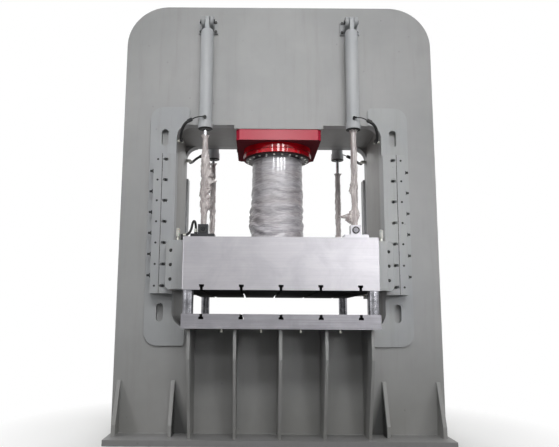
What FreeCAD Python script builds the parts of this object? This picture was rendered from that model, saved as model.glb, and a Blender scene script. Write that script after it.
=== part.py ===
import FreeCAD, Part
import math
import os

# Window-frame hydraulic press: a main ram in the crown drives a guided slider
# down onto a T-slotted bolster. Millimetres, +Z up, front towards -Y, origin on
# the floor at the middle of the press. The slider rests on its stop columns.

Vec = FreeCAD.Vector
UP = Vec(0, 0, 1)

# ---- Frame ----
frame_width = 3586.0
frame_height = 4956.0
crown_height = 1463.0
frame_depth = 1006.0
frame_plate = 120.0
frame_corner_radius = 490.0
shell_plate = 40.0
shell_inset = 20.0
base_thickness = 60.0
base_overhang = 376.0

# ---- Window through the frame ----
window_width = 2350.0
window_bottom = 1174.0
window_upper_radius = 155.0
window_lower_radius = 172.0
window_wall = 40.0
crown_floor = 80.0
bed_plate = 80.0

# ---- Doubler plates beside the window ----
doubler_thickness = 30.0
doubler_width = 304.0
doubler_tongue = 142.0
doubler_above = 203.0
doubler_below = 195.0
doubler_corner_radius = 150.0
doubler_tip_radius = 40.0
lift_slot_width = 78.0
lift_slot_length = 200.0
lift_slot_depth = 35.0
lift_slot_inset = 134.0
lift_slot_from_end = 165.0

# ---- Guide bars ----
guide_bottom = 1540.0
guide_length = 1555.0
guide_standout = 157.0
guide_bar_width = 148.0
guide_bar_overhang = 20.0
guide_joint = 4.0
backing_bar_width = 93.0
guide_bolt_count = 7
guide_bolt_pitch = 234.7
guide_bolt_first = 81.0
guide_bolt_inset = 110.0
guide_bolt_radius = 10.0
guide_bolt_head_radius = 14.0
guide_bolt_head_length = 20.0
guide_bolt_sunk = 12.0
guide_bolt_hole_clearance = 3.0
guide_bolt_slide = 22.0
dowel_radius = 12.0
dowel_sunk = 3.0
adjuster_radius = 13.0
adjuster_standout = 50.0
adjuster_nut_across = 42.0
adjuster_nut_length = 22.0
adjuster_height = 80.0

# ---- Slider and its guide shoes ----
slider_from_window = 175.0
slider_depth = 2264.0
slider_height = 540.0
slider_edge = 14.0
stroke = 800.0
shoe_reach = 222.0
shoe_height = 523.0
shoe_front_step = 10.0
shoe_inner_length = 280.0
shoe_lip_thickness = 130.0
shoe_lip_chamfer = 34.0
shoe_flank_width = 77.0
shoe_flank_depth = 60.0
shoe_bolt_pitch = 153.5
shoe_bolt_count = 3
shoe_bolt_head_radius = 17.0
shoe_bolt_head_length = 18.0
shoe_bolt_hole_clearance = 3.0
shoe_bolt_sunk = 42.0
shoe_bolt_inset = 57.0
liner_thickness = 10.0
guide_clearance = 0.3

# ---- T-slots ----
slot_count = 5
slot_pitch = 400.0
slot_neck = 28.0
slot_neck_depth = 29.0
slot_head = 50.0
slot_head_depth = 25.0

# ---- Bolster and its supports ----
bolster_from_window = 175.0
bolster_top_plate = 93.0
bolster_lower_plate = 55.0
bolster_screw_pitch = 395.0
bolster_screw_count = 4
bolster_screw_radius = 12.0
bolster_screw_head_across = 36.0
bolster_screw_head_length = 18.0
bolster_screw_standout = 34.0
bolster_screw_inset = 30.0
rib_count = 5
rib_inset = 72.0
rib_thickness = 30.0
rib_setback = 73.0
rib_straight = 302.0
rib_foot_from_frame = 293.0
gusset_thickness = 40.0
gusset_outer_inset = 65.0
gusset_inner_inset = 652.0
gusset_height = 550.0
gusset_toe = 187.0
gusset_toe_height = 112.0
gusset_top_width = 14.0
stop_radius = 56.0
stop_height = 239.0
stop_edge_x = 60.0
stop_edge_y = 72.0

# ---- Main cylinder ----
seat_half = 515.0
seat_thickness = 42.0
flange_half = 492.0
flange_thickness = 128.0
flange_chamfer = 36.0
cylinder_radius = 372.0
cylinder_bore_radius = 318.0
cylinder_headroom = 73.0
cylinder_cap = 110.0
ram_radius = 300.0
ram_engagement = 350.0
running_clearance = 0.05
seat_clearance = 0.3
gland_radius = 415.0
gland_thickness = 114.0
gland_groove_width = 8.0
gland_groove_depth = 12.0
gland_groove_from_top = 61.0
packing_radius = 386.0
packing_thickness = 16.0
packing_screw_count = 24
packing_screw_circle = 360.0
packing_screw_across = 24.0
packing_screw_head = 10.0
ram_clamp_radius = 390.0
ram_clamp_height = 60.0
ram_foot_edge = 6.0

# ---- Return cylinders ----
return_from_side = 164.0
return_y = 656.0
barrel_radius = 73.0
barrel_bore_radius = 61.0
barrel_from_window_top = 19.0
barrel_headroom = 131.0
barrel_cap = 60.0
head_radius = 82.0
head_below = 76.0
head_above = 60.0
rod_radius = 22.0
piston_thickness = 45.0
piston_above_head = 20.0
pin_above_barrel = 105.0
pin_radius = 25.0
pin_overhang = 12.0
eye_thickness = 48.0
eye_radius = 62.0
ear_thickness = 40.0
ear_gap = 6.0
bracket_plate = 26.0
bracket_half_width = 112.0
bracket_above_pin = 75.0
bracket_below_pin = 89.0
bracket_bolt_inset = 24.0
bracket_bolt_across = 30.0
bracket_bolt_head = 16.0
rod_foot_width = 262.0
rod_foot_depth = 190.0
rod_foot_thickness = 84.0
rod_block_half = 55.0
rod_block_height = 110.0
rod_pin_radius = 38.0
rod_pin_standout = 5.0

# ---- Protective film left on the ram and the return rods ----
film_gap = 0.3
film_thickness = 3.0
ram_film_swell = 18.0
rod_film_swell = 7.0
rod_film_from_head = 82.0
film_fold_height = 120.0

# ---- Hydraulic hoses to the return cylinders ----
hose_radius = 17.0
pipe_radius = 6.0
elbow_radius = 17.0
elbow_arm_radius = 12.0
socket_radius = 21.0
socket_arm = 34.0

# ---- Lubrication hose on the front left of the slider ----
lube_hose_radius = 13.0
lube_gland_across = 34.0
lube_gland_length = 26.0
lube_gland_from_axis = 80.0
lube_gland_forward = 12.0
lube_elbow_radius = 16.0
lube_elbow_height = 56.0
lube_elbow_from_side = 50.0
lube_elbow_from_face = 30.3

# ---- Oilers on the shoes ----
oiler_radius = 21.0
oiler_height = 96.0
oiler_stem_radius = 10.0
oiler_stem_height = 40.0
oiler_dome = 14.0
oiler_from_side = 95.0
oiler_from_face = 50.0

# ---- Places worked out from the sizes above ----
half_width = frame_width / 2
half_depth = frame_depth / 2
inner_depth = half_depth - frame_plate
shell_half = half_width - shell_inset
window_half = window_width / 2
window_top = frame_height - crown_height
doubler_face = half_depth + doubler_thickness
guide_face = doubler_face + guide_standout
guide_inner = window_half - guide_bar_overhang
guide_top = guide_bottom + guide_length
bolster_top = window_bottom + bolster_lower_plate + bolster_top_plate
slider_bottom = bolster_top + stop_height
slider_top = slider_bottom + slider_height
slider_half = window_half - slider_from_window
return_x = slider_half - return_from_side
slider_front = slider_depth / 2
bolster_half = window_half - bolster_from_window
rib_pitch = 2 * (bolster_half - rib_inset) / (rib_count - 1)
shoe_face = guide_face + guide_clearance + liner_thickness + shoe_lip_thickness
shoe_inner_side = guide_inner - guide_clearance - liner_thickness
shoe_top = slider_top
shoe_bottom = slider_top - shoe_height
seat_bottom = window_top - seat_thickness
flange_bottom = seat_bottom - flange_thickness
gland_bottom = flange_bottom - gland_thickness
packing_bottom = gland_bottom - packing_thickness
ram_top = flange_bottom + ram_engagement
cylinder_top = ram_top + stroke + cylinder_headroom + cylinder_cap
barrel_bottom = window_top - barrel_from_window_top
head_bottom = barrel_bottom - head_below
rod_block_top = slider_top + rod_foot_thickness + rod_block_height
piston_bottom = barrel_bottom + head_above + piston_above_head
barrel_top = piston_bottom + piston_thickness + stroke + barrel_headroom + barrel_cap
pin_height = barrel_top + pin_above_barrel

CORNERS = {
    "front_left": (-1, -1),
    "front_right": (1, -1),
    "rear_left": (-1, 1),
    "rear_right": (1, 1),
}


# ---- Helpers ----
def box(x0, x1, y0, y1, z0, z1):
    low = Vec(min(x0, x1), min(y0, y1), min(z0, z1))
    return Part.makeBox(abs(x1 - x0), abs(y1 - y0), abs(z1 - z0), low)


def rod(radius, start, end):
    start = Vec(*start)
    along = Vec(*end) - start
    return Part.makeCylinder(radius, along.Length, start, along)


def hex_prism(across, start, end):
    start = Vec(*start)
    along = Vec(*end) - start
    corner = across / math.sqrt(3)
    turn = FreeCAD.Rotation(UP, along)
    points = []
    for i in range(7):
        angle = math.radians(60 * i)
        flat = Vec(corner * math.cos(angle), corner * math.sin(angle), 0)
        points.append(start + turn.multVec(flat))
    return Part.Face(Part.makePolygon(points)).extrude(along)


def revolve(profile):
    """Turn a closed (radius, height) profile about the Z axis."""
    points = [Vec(r, 0, z) for r, z in profile]
    face = Part.Face(Part.makePolygon(points + [points[0]]))
    return face.revolve(Vec(0, 0, 0), UP, 360)


def rounded_face(corners, y):
    """Face in the plane Y = y from (x, z, radius) corners taken in order."""
    count = len(corners)
    starts = []
    ends = []
    middles = []
    for i in range(count):
        x, z, radius = corners[i]
        here = Vec(x, y, z)
        before = Vec(corners[i - 1][0], y, corners[i - 1][1]) - here
        after = Vec(corners[(i + 1) % count][0], y, corners[(i + 1) % count][1]) - here
        before.normalize()
        after.normalize()
        half_turn = before.getAngle(after) / 2
        reach = radius / math.tan(half_turn)
        starts.append(here + before * reach)
        ends.append(here + after * reach)
        towards = (before + after).normalize()
        middles.append(here + towards * (radius / math.sin(half_turn) - radius))
    edges = []
    for i in range(count):
        if corners[i][2] > 0:
            edges.append(Part.Arc(starts[i], middles[i], ends[i]).toShape())
        following = starts[(i + 1) % count]
        if (following - ends[i]).Length > 1e-6:
            edges.append(Part.makeLine(ends[i], following))
    return Part.Face(Part.Wire(edges))


def slab(corners, y0, y1):
    return rounded_face(corners, y0).extrude(Vec(0, y1 - y0, 0))


def side_profile(points, x, thickness):
    """Plate of a (y, z) outline, centred on X = x."""
    outline = [Vec(x - thickness / 2, y, z) for y, z in points]
    return Part.Face(Part.makePolygon(outline + [outline[0]])).extrude(Vec(thickness, 0, 0))


def mirrored(shape, side, end):
    """Copy of a front-right shape at the given side (x) and end (-1 is the front)."""
    result = shape.copy()
    if side < 0:
        result = result.mirror(Vec(0, 0, 0), Vec(1, 0, 0))
    if end > 0:
        result = result.mirror(Vec(0, 0, 0), Vec(0, 1, 0))
    return result


def at_four_corners(shapes):
    return [mirrored(s, side, end) for side, end in CORNERS.values() for s in shapes]


def group(shapes):
    return Part.makeCompound(shapes)


def left_and_right(shape):
    return group([shape, mirrored(shape, -1, -1)])


def guide_bolt_heights():
    first = guide_bottom + guide_bolt_first
    return [first + guide_bolt_pitch * i for i in range(guide_bolt_count)]


def adjuster_heights():
    return [z + guide_bolt_pitch / 2 for z in guide_bolt_heights()[:-1]]


def shoe_bolt_heights():
    middle = (shoe_top + shoe_bottom) / 2
    first = middle - shoe_bolt_pitch * (shoe_bolt_count - 1) / 2
    return [first + shoe_bolt_pitch * i for i in range(shoe_bolt_count)]


def slot_positions():
    return [(i - (slot_count - 1) / 2) * slot_pitch for i in range(slot_count)]


def lift_slot_heights():
    return [window_bottom + lift_slot_from_end, window_top - lift_slot_from_end]


# ---- Frame pieces ----
def window_corners():
    return [
        (-window_half, window_bottom, window_lower_radius),
        (window_half, window_bottom, window_lower_radius),
        (window_half, window_top, window_upper_radius),
        (-window_half, window_top, window_upper_radius),
    ]


def outline_corners(inset, bottom):
    radius = frame_corner_radius - inset
    side = half_width - inset
    top = frame_height - inset
    return [(-side, bottom, 0), (side, bottom, 0), (side, top, radius), (-side, top, radius)]


def lift_slot(z, y0, y1):
    x = window_half + lift_slot_inset
    half = lift_slot_width / 2
    end = lift_slot_length / 2
    corners = [(x - half, z - end), (x + half, z - end), (x + half, z + end), (x - half, z + end)]
    return slab([(cx, cz, half) for cx, cz in corners], y0, y1)


def bolt_slot(radius, x, z, y0, y1):
    """Slot lying across a guide bar, so that its adjusters can shift it under the bolts."""
    half = guide_bolt_slide / 2
    slot = box(x - half, x + half, y0, y1, z - radius, z + radius)
    return slot.fuse([rod(radius, (x + side * half, y0, z), (x + side * half, y1, z))
                      for side in (-1, 1)])


def frame_plate_shape():
    plate = slab(outline_corners(0, base_thickness), -half_depth, -inner_depth)
    plate = plate.cut(slab(window_corners(), -half_depth - 1, -inner_depth + 1))
    for z in lift_slot_heights():
        pocket = lift_slot(z, -half_depth - 1, -half_depth + lift_slot_depth)
        plate = plate.cut(pocket).cut(mirrored(pocket, -1, -1))
    return plate


def side_plate():
    top = frame_height - frame_corner_radius
    return box(shell_half - shell_plate, shell_half, -inner_depth, inner_depth, base_thickness, top)


def crown_cover():
    ring = slab(outline_corners(shell_inset, base_thickness), -inner_depth, inner_depth)
    hollow = outline_corners(shell_inset + shell_plate, base_thickness - shell_plate)
    ring = ring.cut(slab(hollow, -inner_depth - 1, inner_depth + 1))
    spring_line = frame_height - frame_corner_radius
    below = box(-half_width, half_width, -half_depth, half_depth, 0, spring_line)
    return ring.cut(below)


def window_wall_plate():
    return box(window_half, window_half + window_wall, -inner_depth, inner_depth,
               window_bottom, window_top)


def crown_floor_plate():
    side = shell_half - shell_plate
    plate = box(-side, side, -inner_depth, inner_depth, window_top, window_top + crown_floor)
    hole = rod(cylinder_radius + seat_clearance, (0, 0, window_top - 1),
               (0, 0, window_top + crown_floor + 1))
    return plate.cut(hole)


def bed_plate_shape():
    side = shell_half - shell_plate
    return box(-side, side, -inner_depth, inner_depth, window_bottom - bed_plate, window_bottom)


def base_plate():
    reach = half_depth + base_overhang
    return box(-half_width, half_width, -reach, reach, 0, base_thickness)


def doubler():
    inner = window_half - doubler_tongue
    outer = window_half + doubler_width
    low = window_bottom - doubler_below
    high = window_top + doubler_above
    corners = [
        (inner, low, doubler_tip_radius),
        (outer, low, doubler_corner_radius),
        (outer, high, doubler_corner_radius),
        (inner, high, doubler_tip_radius),
    ]
    plate = slab(corners, -doubler_face, -half_depth)
    plate = plate.cut(slab(window_corners(), -doubler_face - 1, -half_depth + 1))
    for z in lift_slot_heights():
        plate = plate.cut(lift_slot(z, -doubler_face - 1, -half_depth + 1))
    return plate


# ---- Guides ----
def guide_bar():
    bar = box(guide_inner, guide_inner + guide_bar_width, -guide_face, -doubler_face,
              guide_bottom, guide_top)
    x = guide_inner + guide_bolt_inset
    hole_radius = guide_bolt_head_radius + guide_bolt_hole_clearance
    seat = -guide_face + guide_bolt_sunk + guide_bolt_head_length
    for z in guide_bolt_heights():
        bar = bar.cut(bolt_slot(hole_radius, x, z, -guide_face - 1, seat))
        bar = bar.cut(bolt_slot(guide_bolt_radius + seat_clearance, x, z, seat - 1,
                                -doubler_face + 1))
    return bar


def guide_bolts():
    x = guide_inner + guide_bolt_inset
    head_face = -guide_face + guide_bolt_sunk
    seat = head_face + guide_bolt_head_length
    bolts = []
    for z in guide_bolt_heights():
        head = rod(guide_bolt_head_radius, (x, head_face, z), (x, seat, z))
        shank = rod(guide_bolt_radius, (x, seat - 1, z), (x, -doubler_face, z))
        socket = hex_prism(guide_bolt_head_radius, (x, head_face - 1, z),
                           (x, head_face + guide_bolt_head_length / 2, z))
        bolts.append(head.fuse(shank).removeSplitter().cut(socket))
    return group(at_four_corners(bolts))


def backing_bar():
    start = guide_inner + guide_bar_width + guide_joint
    bar = box(start, start + backing_bar_width, -guide_face, -doubler_face,
              guide_bottom, guide_top)
    y = -doubler_face - adjuster_height
    for z in adjuster_heights():
        bar = bar.cut(rod(adjuster_radius + seat_clearance, (start - 1, y, z),
                          (start + backing_bar_width + 1, y, z)))
    x = start + backing_bar_width / 2
    for z in guide_bolt_heights():
        bar = bar.cut(rod(dowel_radius + seat_clearance, (x, -guide_face - 1, z),
                          (x, -doubler_face + 1, z)))
    return bar


def guide_dowels():
    x = guide_inner + guide_bar_width + guide_joint + backing_bar_width / 2
    dowels = []
    for z in guide_bolt_heights():
        dowels.append(rod(dowel_radius, (x, -guide_face + dowel_sunk, z), (x, -doubler_face, z)))
    return group(at_four_corners(dowels))


def guide_adjusters():
    start = guide_inner + guide_bar_width
    outer = start + guide_joint + backing_bar_width
    y = -doubler_face - adjuster_height
    screws = []
    for z in adjuster_heights():
        shank = rod(adjuster_radius, (start, y, z), (outer + adjuster_standout, y, z))
        nut = hex_prism(adjuster_nut_across, (outer, y, z), (outer + adjuster_nut_length, y, z))
        screws.append(shank.fuse(nut))
    return group(at_four_corners(screws))


# ---- Main cylinder ----
def cylinder_seat():
    plate = box(-seat_half, seat_half, -half_depth, half_depth, seat_bottom, window_top)
    return plate.cut(rod(cylinder_radius + seat_clearance, (0, 0, seat_bottom - 1),
                         (0, 0, window_top + 1)))


def main_cylinder():
    flange = box(-flange_half, flange_half, -flange_half, flange_half, flange_bottom, seat_bottom)
    upright = [e for e in flange.Edges if abs(e.tangentAt(e.FirstParameter).z) > 0.9]
    flange = flange.makeChamfer(flange_chamfer, upright)
    barrel = rod(cylinder_radius, (0, 0, flange_bottom), (0, 0, cylinder_top))
    bore = rod(cylinder_bore_radius, (0, 0, flange_bottom - 1), (0, 0, cylinder_top - cylinder_cap))
    return flange.fuse(barrel).removeSplitter().cut(bore)


def gland_flange():
    top = flange_bottom
    groove_top = top - gland_groove_from_top
    groove_low = groove_top - gland_groove_width
    groove_floor = gland_radius - gland_groove_depth
    bore = ram_radius + running_clearance
    return revolve([
        (bore, gland_bottom), (gland_radius, gland_bottom), (gland_radius, groove_low),
        (groove_floor, groove_low), (groove_floor, groove_top), (gland_radius, groove_top),
        (gland_radius, top), (bore, top),
    ])


def packing_ring():
    bore = ram_radius + running_clearance
    return revolve([
        (bore, packing_bottom), (packing_radius, packing_bottom),
        (packing_radius, gland_bottom), (bore, gland_bottom),
    ])


def packing_screws():
    screws = []
    for i in range(packing_screw_count):
        angle = 2 * math.pi * (i + 0.5) / packing_screw_count
        x = packing_screw_circle * math.cos(angle)
        y = packing_screw_circle * math.sin(angle)
        screws.append(hex_prism(packing_screw_across, (x, y, packing_bottom - packing_screw_head),
                                (x, y, packing_bottom)))
    return group(screws)


def ram():
    return revolve([
        (0, slider_top), (ram_radius - ram_foot_edge, slider_top),
        (ram_radius, slider_top + ram_foot_edge), (ram_radius, ram_top - ram_foot_edge),
        (ram_radius - ram_foot_edge, ram_top), (0, ram_top),
    ])


def ram_clamp():
    bore = ram_radius + seat_clearance
    top = slider_top + ram_clamp_height
    return revolve([
        (bore, slider_top), (ram_clamp_radius, slider_top), (ram_clamp_radius, top), (bore, top),
    ])


def film_sleeve(inner, low, high, swell):
    """Loose sleeve whose wall swells out in folds between its two tied ends."""
    folds = max(2, round((high - low) / film_fold_height))
    step = (high - low) / folds
    outer = inner + film_thickness
    profile = [(inner, high), (inner, low), (outer, low)]
    for i in range(folds):
        share = math.sin(math.pi * (i + 0.5) / folds)
        bulge = swell * share * (1.0 if i % 2 else 0.55)
        profile.append((outer + bulge, low + step * (i + 0.5)))
    profile.append((outer, high))
    return revolve(profile)


def ram_film():
    low = slider_top + ram_clamp_height + film_gap
    return film_sleeve(ram_radius + film_gap, low, packing_bottom - packing_screw_head - film_gap,
                       ram_film_swell)


# ---- Return cylinders ----
def placed(shape, side, end):
    return shape.translated(Vec(side * return_x, end * return_y, 0))


def return_barrel():
    shell = revolve([
        (barrel_bore_radius, barrel_bottom), (barrel_radius, barrel_bottom),
        (barrel_radius, barrel_top - barrel_cap / 2), (barrel_radius - barrel_cap / 4, barrel_top),
        (0, barrel_top), (0, barrel_top - barrel_cap), (barrel_bore_radius, barrel_top - barrel_cap),
    ])
    half = eye_thickness / 2
    web = box(-half, half, -eye_radius, eye_radius, barrel_top - barrel_cap / 2, pin_height)
    knuckle = rod(eye_radius, (-half, 0, pin_height), (half, 0, pin_height))
    pin_hole = rod(pin_radius + running_clearance, (-half - 1, 0, pin_height),
                   (half + 1, 0, pin_height))
    return shell.fuse([web, knuckle]).removeSplitter().cut(pin_hole)


def return_head():
    bore = rod_radius + running_clearance
    spigot = barrel_bore_radius - seat_clearance
    return revolve([
        (bore, head_bottom), (head_radius, head_bottom), (head_radius, barrel_bottom),
        (spigot, barrel_bottom), (spigot, barrel_bottom + head_above),
        (bore, barrel_bottom + head_above),
    ])


def return_rod():
    low = slider_top + rod_foot_thickness + rod_block_height
    return revolve([
        (0, low), (rod_radius, low), (rod_radius, piston_bottom),
        (barrel_bore_radius - running_clearance, piston_bottom),
        (barrel_bore_radius - running_clearance, piston_bottom + piston_thickness),
        (0, piston_bottom + piston_thickness),
    ])


def return_bracket():
    """Bolted plate with two ears, for the front of the frame at the origin's X and Y."""
    plate_face = return_y - half_depth
    plate = box(-bracket_half_width, bracket_half_width, plate_face - bracket_plate, plate_face,
                pin_height - bracket_below_pin, pin_height + bracket_above_pin)
    gap = eye_thickness / 2 + ear_gap
    result = plate
    for side in (-1, 1):
        ear = rod(eye_radius, (side * gap, 0, pin_height), (side * (gap + ear_thickness), 0, pin_height))
        web = box(side * gap, side * (gap + ear_thickness), 0, plate_face - bracket_plate,
                  pin_height - eye_radius, pin_height + eye_radius)
        result = result.fuse([ear, web])
    reach = gap + ear_thickness + 1
    hole = rod(pin_radius + seat_clearance, (-reach, 0, pin_height), (reach, 0, pin_height))
    return result.removeSplitter().cut(hole)


def return_pin():
    reach = eye_thickness / 2 + ear_gap + ear_thickness + pin_overhang
    return rod(pin_radius, (-reach, 0, pin_height), (reach, 0, pin_height))


def bracket_bolts():
    face = return_y - half_depth - bracket_plate
    x = bracket_half_width - bracket_bolt_inset
    low = pin_height - bracket_below_pin + bracket_bolt_inset
    high = pin_height + bracket_above_pin - bracket_bolt_inset
    heads = []
    for z in (low, high):
        for side in (-1, 1):
            heads.append(hex_prism(bracket_bolt_across, (side * x, face - bracket_bolt_head, z),
                                   (side * x, face, z)))
    return heads


def rod_foot():
    return box(-rod_foot_width / 2, rod_foot_width / 2, -rod_foot_depth / 2, rod_foot_depth / 2,
               slider_top, slider_top + rod_foot_thickness)


def rod_block():
    low = slider_top + rod_foot_thickness
    block = box(-rod_block_half, rod_block_half, -rod_block_half, rod_block_half,
                low, rod_block_top)
    middle = (low + rod_block_top) / 2
    reach = rod_block_half + rod_pin_standout
    boss = rod(rod_pin_radius, (0, -reach, middle), (0, reach, middle))
    return block.fuse(boss)


def rod_film():
    return film_sleeve(rod_radius + film_gap, rod_block_top + film_gap,
                       head_bottom - rod_film_from_head, rod_film_swell)


def at_return_cylinders(shapes):
    result = []
    for side, end in CORNERS.values():
        for shape in shapes:
            turned = mirrored(shape, side, end)
            result.append(placed(turned, side, end))
    return result


# ---- Slider ----
def t_slots(x_list, face_z, inward, reach):
    cutters = []
    for x in x_list:
        neck_end = face_z + inward * slot_neck_depth
        head_end = neck_end + inward * slot_head_depth
        cutters.append(box(x - slot_neck / 2, x + slot_neck / 2, -reach, reach,
                           face_z - inward, neck_end + inward))
        cutters.append(box(x - slot_head / 2, x + slot_head / 2, -reach, reach,
                           neck_end, head_end))
    return cutters


def slider_block():
    block = box(-slider_half, slider_half, -slider_front, slider_front, slider_bottom, slider_top)
    upright = [e for e in block.Edges if abs(e.tangentAt(e.FirstParameter).z) > 0.9]
    block = block.makeFillet(slider_edge, upright)
    return block.cut(t_slots(slot_positions(), slider_bottom, 1, slider_front + 1))


def shoe_flank():
    """Wedge that slopes the lip's front face back towards its outer edge."""
    start = slider_half + shoe_reach - shoe_flank_width
    end = start + 2 * shoe_flank_width
    corners = [Vec(start, -shoe_face, shoe_bottom), Vec(end, -shoe_face, shoe_bottom),
               Vec(end, -shoe_face + 2 * shoe_flank_depth, shoe_bottom)]
    return Part.Face(Part.makePolygon(corners + [corners[0]])).extrude(Vec(0, 0, shoe_height))


def guide_shoe():
    """Front right shoe: a block on the slider's side with a lip in front of the guide bar."""
    inner_end = -shoe_face + shoe_inner_length
    block = box(slider_half, shoe_inner_side, -shoe_face - shoe_front_step, inner_end,
                shoe_bottom, shoe_top)
    outer = slider_half + shoe_reach
    cut = shoe_lip_chamfer
    lip = slab([
        (slider_half, shoe_bottom, 0), (outer - cut, shoe_bottom, 0), (outer, shoe_bottom + cut, 0),
        (outer, shoe_top - cut, 0), (outer - cut, shoe_top, 0), (slider_half, shoe_top, 0),
    ], -shoe_face, -shoe_face + shoe_lip_thickness)
    lip = lip.cut(shoe_flank())
    hole_radius = shoe_bolt_head_radius + shoe_bolt_hole_clearance
    x = outer - shoe_bolt_inset
    for z in shoe_bolt_heights():
        lip = lip.cut(rod(hole_radius, (x, -shoe_face - 1, z), (x, -shoe_face + shoe_bolt_sunk, z)))
    return block.fuse(lip).removeSplitter()


def guide_liners():
    inner_end = -shoe_face + shoe_inner_length
    back = -shoe_face + shoe_lip_thickness
    side_liner = box(shoe_inner_side, shoe_inner_side + liner_thickness, back, inner_end,
                     shoe_bottom, shoe_top)
    start = shoe_inner_side + liner_thickness
    face_liner = box(start, slider_half + shoe_reach - shoe_lip_chamfer, back,
                     back + liner_thickness, shoe_bottom, shoe_top)
    return group(at_four_corners([side_liner, face_liner]))


def shoe_bolts():
    x = slider_half + shoe_reach - shoe_bolt_inset
    heads = []
    for z in shoe_bolt_heights():
        seat = -shoe_face + shoe_bolt_sunk
        head = rod(shoe_bolt_head_radius, (x, seat - shoe_bolt_head_length, z), (x, seat, z))
        heads.append(head)
    return group(at_four_corners(heads))


def oilers():
    x = slider_half + oiler_from_side
    y = -shoe_face + oiler_from_face
    stem_top = shoe_top + oiler_stem_height
    body = revolve([
        (0, shoe_top), (oiler_stem_radius, shoe_top), (oiler_stem_radius, stem_top),
        (oiler_radius, stem_top), (oiler_radius, stem_top + oiler_height - oiler_dome),
        (oiler_radius - oiler_dome, stem_top + oiler_height), (0, stem_top + oiler_height),
    ])
    return group(at_four_corners([body.translated(Vec(x, y, 0))]))


# ---- Bolster and supports ----
def bolster_top_shape():
    plate = box(-bolster_half, bolster_half, -slider_front, slider_front,
                window_bottom + bolster_lower_plate, bolster_top)
    return plate.cut(t_slots(slot_positions(), bolster_top, -1, slider_front + 1))


def bolster_lower_shape():
    plate = box(-bolster_half, bolster_half, -slider_front, slider_front,
                window_bottom, window_bottom + bolster_lower_plate)
    for x, y in bolster_screw_places():
        plate = plate.cut(rod(bolster_screw_radius + seat_clearance, (x, y, window_bottom - 1),
                              (x, y, window_bottom + bolster_lower_plate + 1)))
    return plate


def bolster_screw_places():
    places = []
    y = slider_front - bolster_screw_inset
    for i in range(bolster_screw_count):
        x = (i - (bolster_screw_count - 1) / 2) * bolster_screw_pitch
        places.append((x, -y))
        places.append((x, y))
    return places


def bolster_screws():
    screws = []
    low = window_bottom - bolster_screw_standout
    for x, y in bolster_screw_places():
        shank = rod(bolster_screw_radius, (x, y, low + bolster_screw_head_length),
                    (x, y, window_bottom + bolster_lower_plate))
        head = hex_prism(bolster_screw_head_across, (x, y, low),
                         (x, y, low + bolster_screw_head_length))
        screws.append(shank.fuse(head))
    return group(screws)


def bolster_rib(x):
    front = slider_front - rib_setback
    foot = half_depth + rib_foot_from_frame
    points = [
        (-half_depth, base_thickness), (-foot, base_thickness),
        (-front, window_bottom - rib_straight), (-front, window_bottom),
        (-half_depth, window_bottom),
    ]
    return side_profile(points, x, rib_thickness)


def bolster_ribs():
    ribs = []
    for i in range(rib_count):
        rib = bolster_rib((i - (rib_count - 1) / 2) * rib_pitch)
        ribs.append(rib)
        ribs.append(mirrored(rib, 1, 1))
    return group(ribs)


def base_gussets():
    points = [
        (-half_depth, base_thickness), (-half_depth - gusset_toe, base_thickness),
        (-half_depth - gusset_toe, base_thickness + gusset_toe_height),
        (-half_depth - gusset_top_width, base_thickness + gusset_height),
        (-half_depth, base_thickness + gusset_height),
    ]
    gussets = []
    for inset in (gusset_outer_inset, gusset_inner_inset):
        gussets.append(side_profile(points, half_width - inset, gusset_thickness))
    return group(at_four_corners(gussets))


def stop_columns():
    x = bolster_half - stop_edge_x
    y = slider_front - stop_edge_y
    return group(at_four_corners([rod(stop_radius, (x, -y, bolster_top), (x, -y, slider_bottom))]))


# ---- Hoses ----
def tube_along(route, radius, name):
    """Round tube along straight runs joined by tangent arcs."""
    edges = []
    radii = []
    last = route[0]
    for i in range(1, len(route) - 1):
        back = route[i - 1] - route[i]
        ahead = route[i + 1] - route[i]
        shorter = min(back.Length, ahead.Length)
        back.normalize()
        ahead.normalize()
        half_turn = (math.pi - back.getAngle(ahead)) / 2
        reach = 0.45 * shorter
        bend = reach / math.tan(half_turn)
        radii.append(bend)
        start = route[i] + back * reach
        end = route[i] + ahead * reach
        inward = (back + ahead).normalize()
        middle = route[i] + inward * (bend / math.cos(half_turn) - bend)
        edges.append(Part.LineSegment(last, start).toShape())
        edges.append(Part.Arc(start, middle, end).toShape())
        last = end
    edges.append(Part.LineSegment(last, route[-1]).toShape())
    path = Part.Wire(edges)
    section = Part.Wire(Part.makeCircle(radius, route[0], route[1] - route[0]))
    tube = path.makePipeShell([section], True, False)
    expected = math.pi * radius ** 2 * path.Length
    print(name, "radii", [round(r) for r in radii],
          "volume share", round(tube.Volume / expected, 4))
    return tube


# Routes for the front right hose, as offsets from the return cylinder's axis
# (X outwards, Y towards the back) and heights above the head's lower end.
pipe_route = [(26, -99, 108), (62, -99, 108), (105, -95.2, 98.6), (150, -88, 77)]
hose_route = [(150, -88, 77), (200, -80, 53), (242, -52, 16), (268, 0, -28), (286, 66, -66),
              (292, 132, -84), (292, 186, -84)]


def hose_place(offsets):
    x, y, z = offsets
    return Vec(return_x + x, -return_y + y, head_bottom + z)


def hose_parts():
    pipe = tube_along([hose_place(p) for p in pipe_route], pipe_radius, "pipe")
    hose = tube_along([hose_place(p) for p in hose_route], hose_radius, "hose")
    return pipe, hose


def elbow_joint(centre, wall, wall_radius, mouth, mouth_radius):
    """Two round arms meeting in a ball: one to the wall it screws into, one to the tube."""
    return rod(wall_radius, centre, wall).fuse([
        rod(mouth_radius, centre, mouth), Part.makeSphere(wall_radius, centre),
    ]).removeSplitter()


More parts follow.
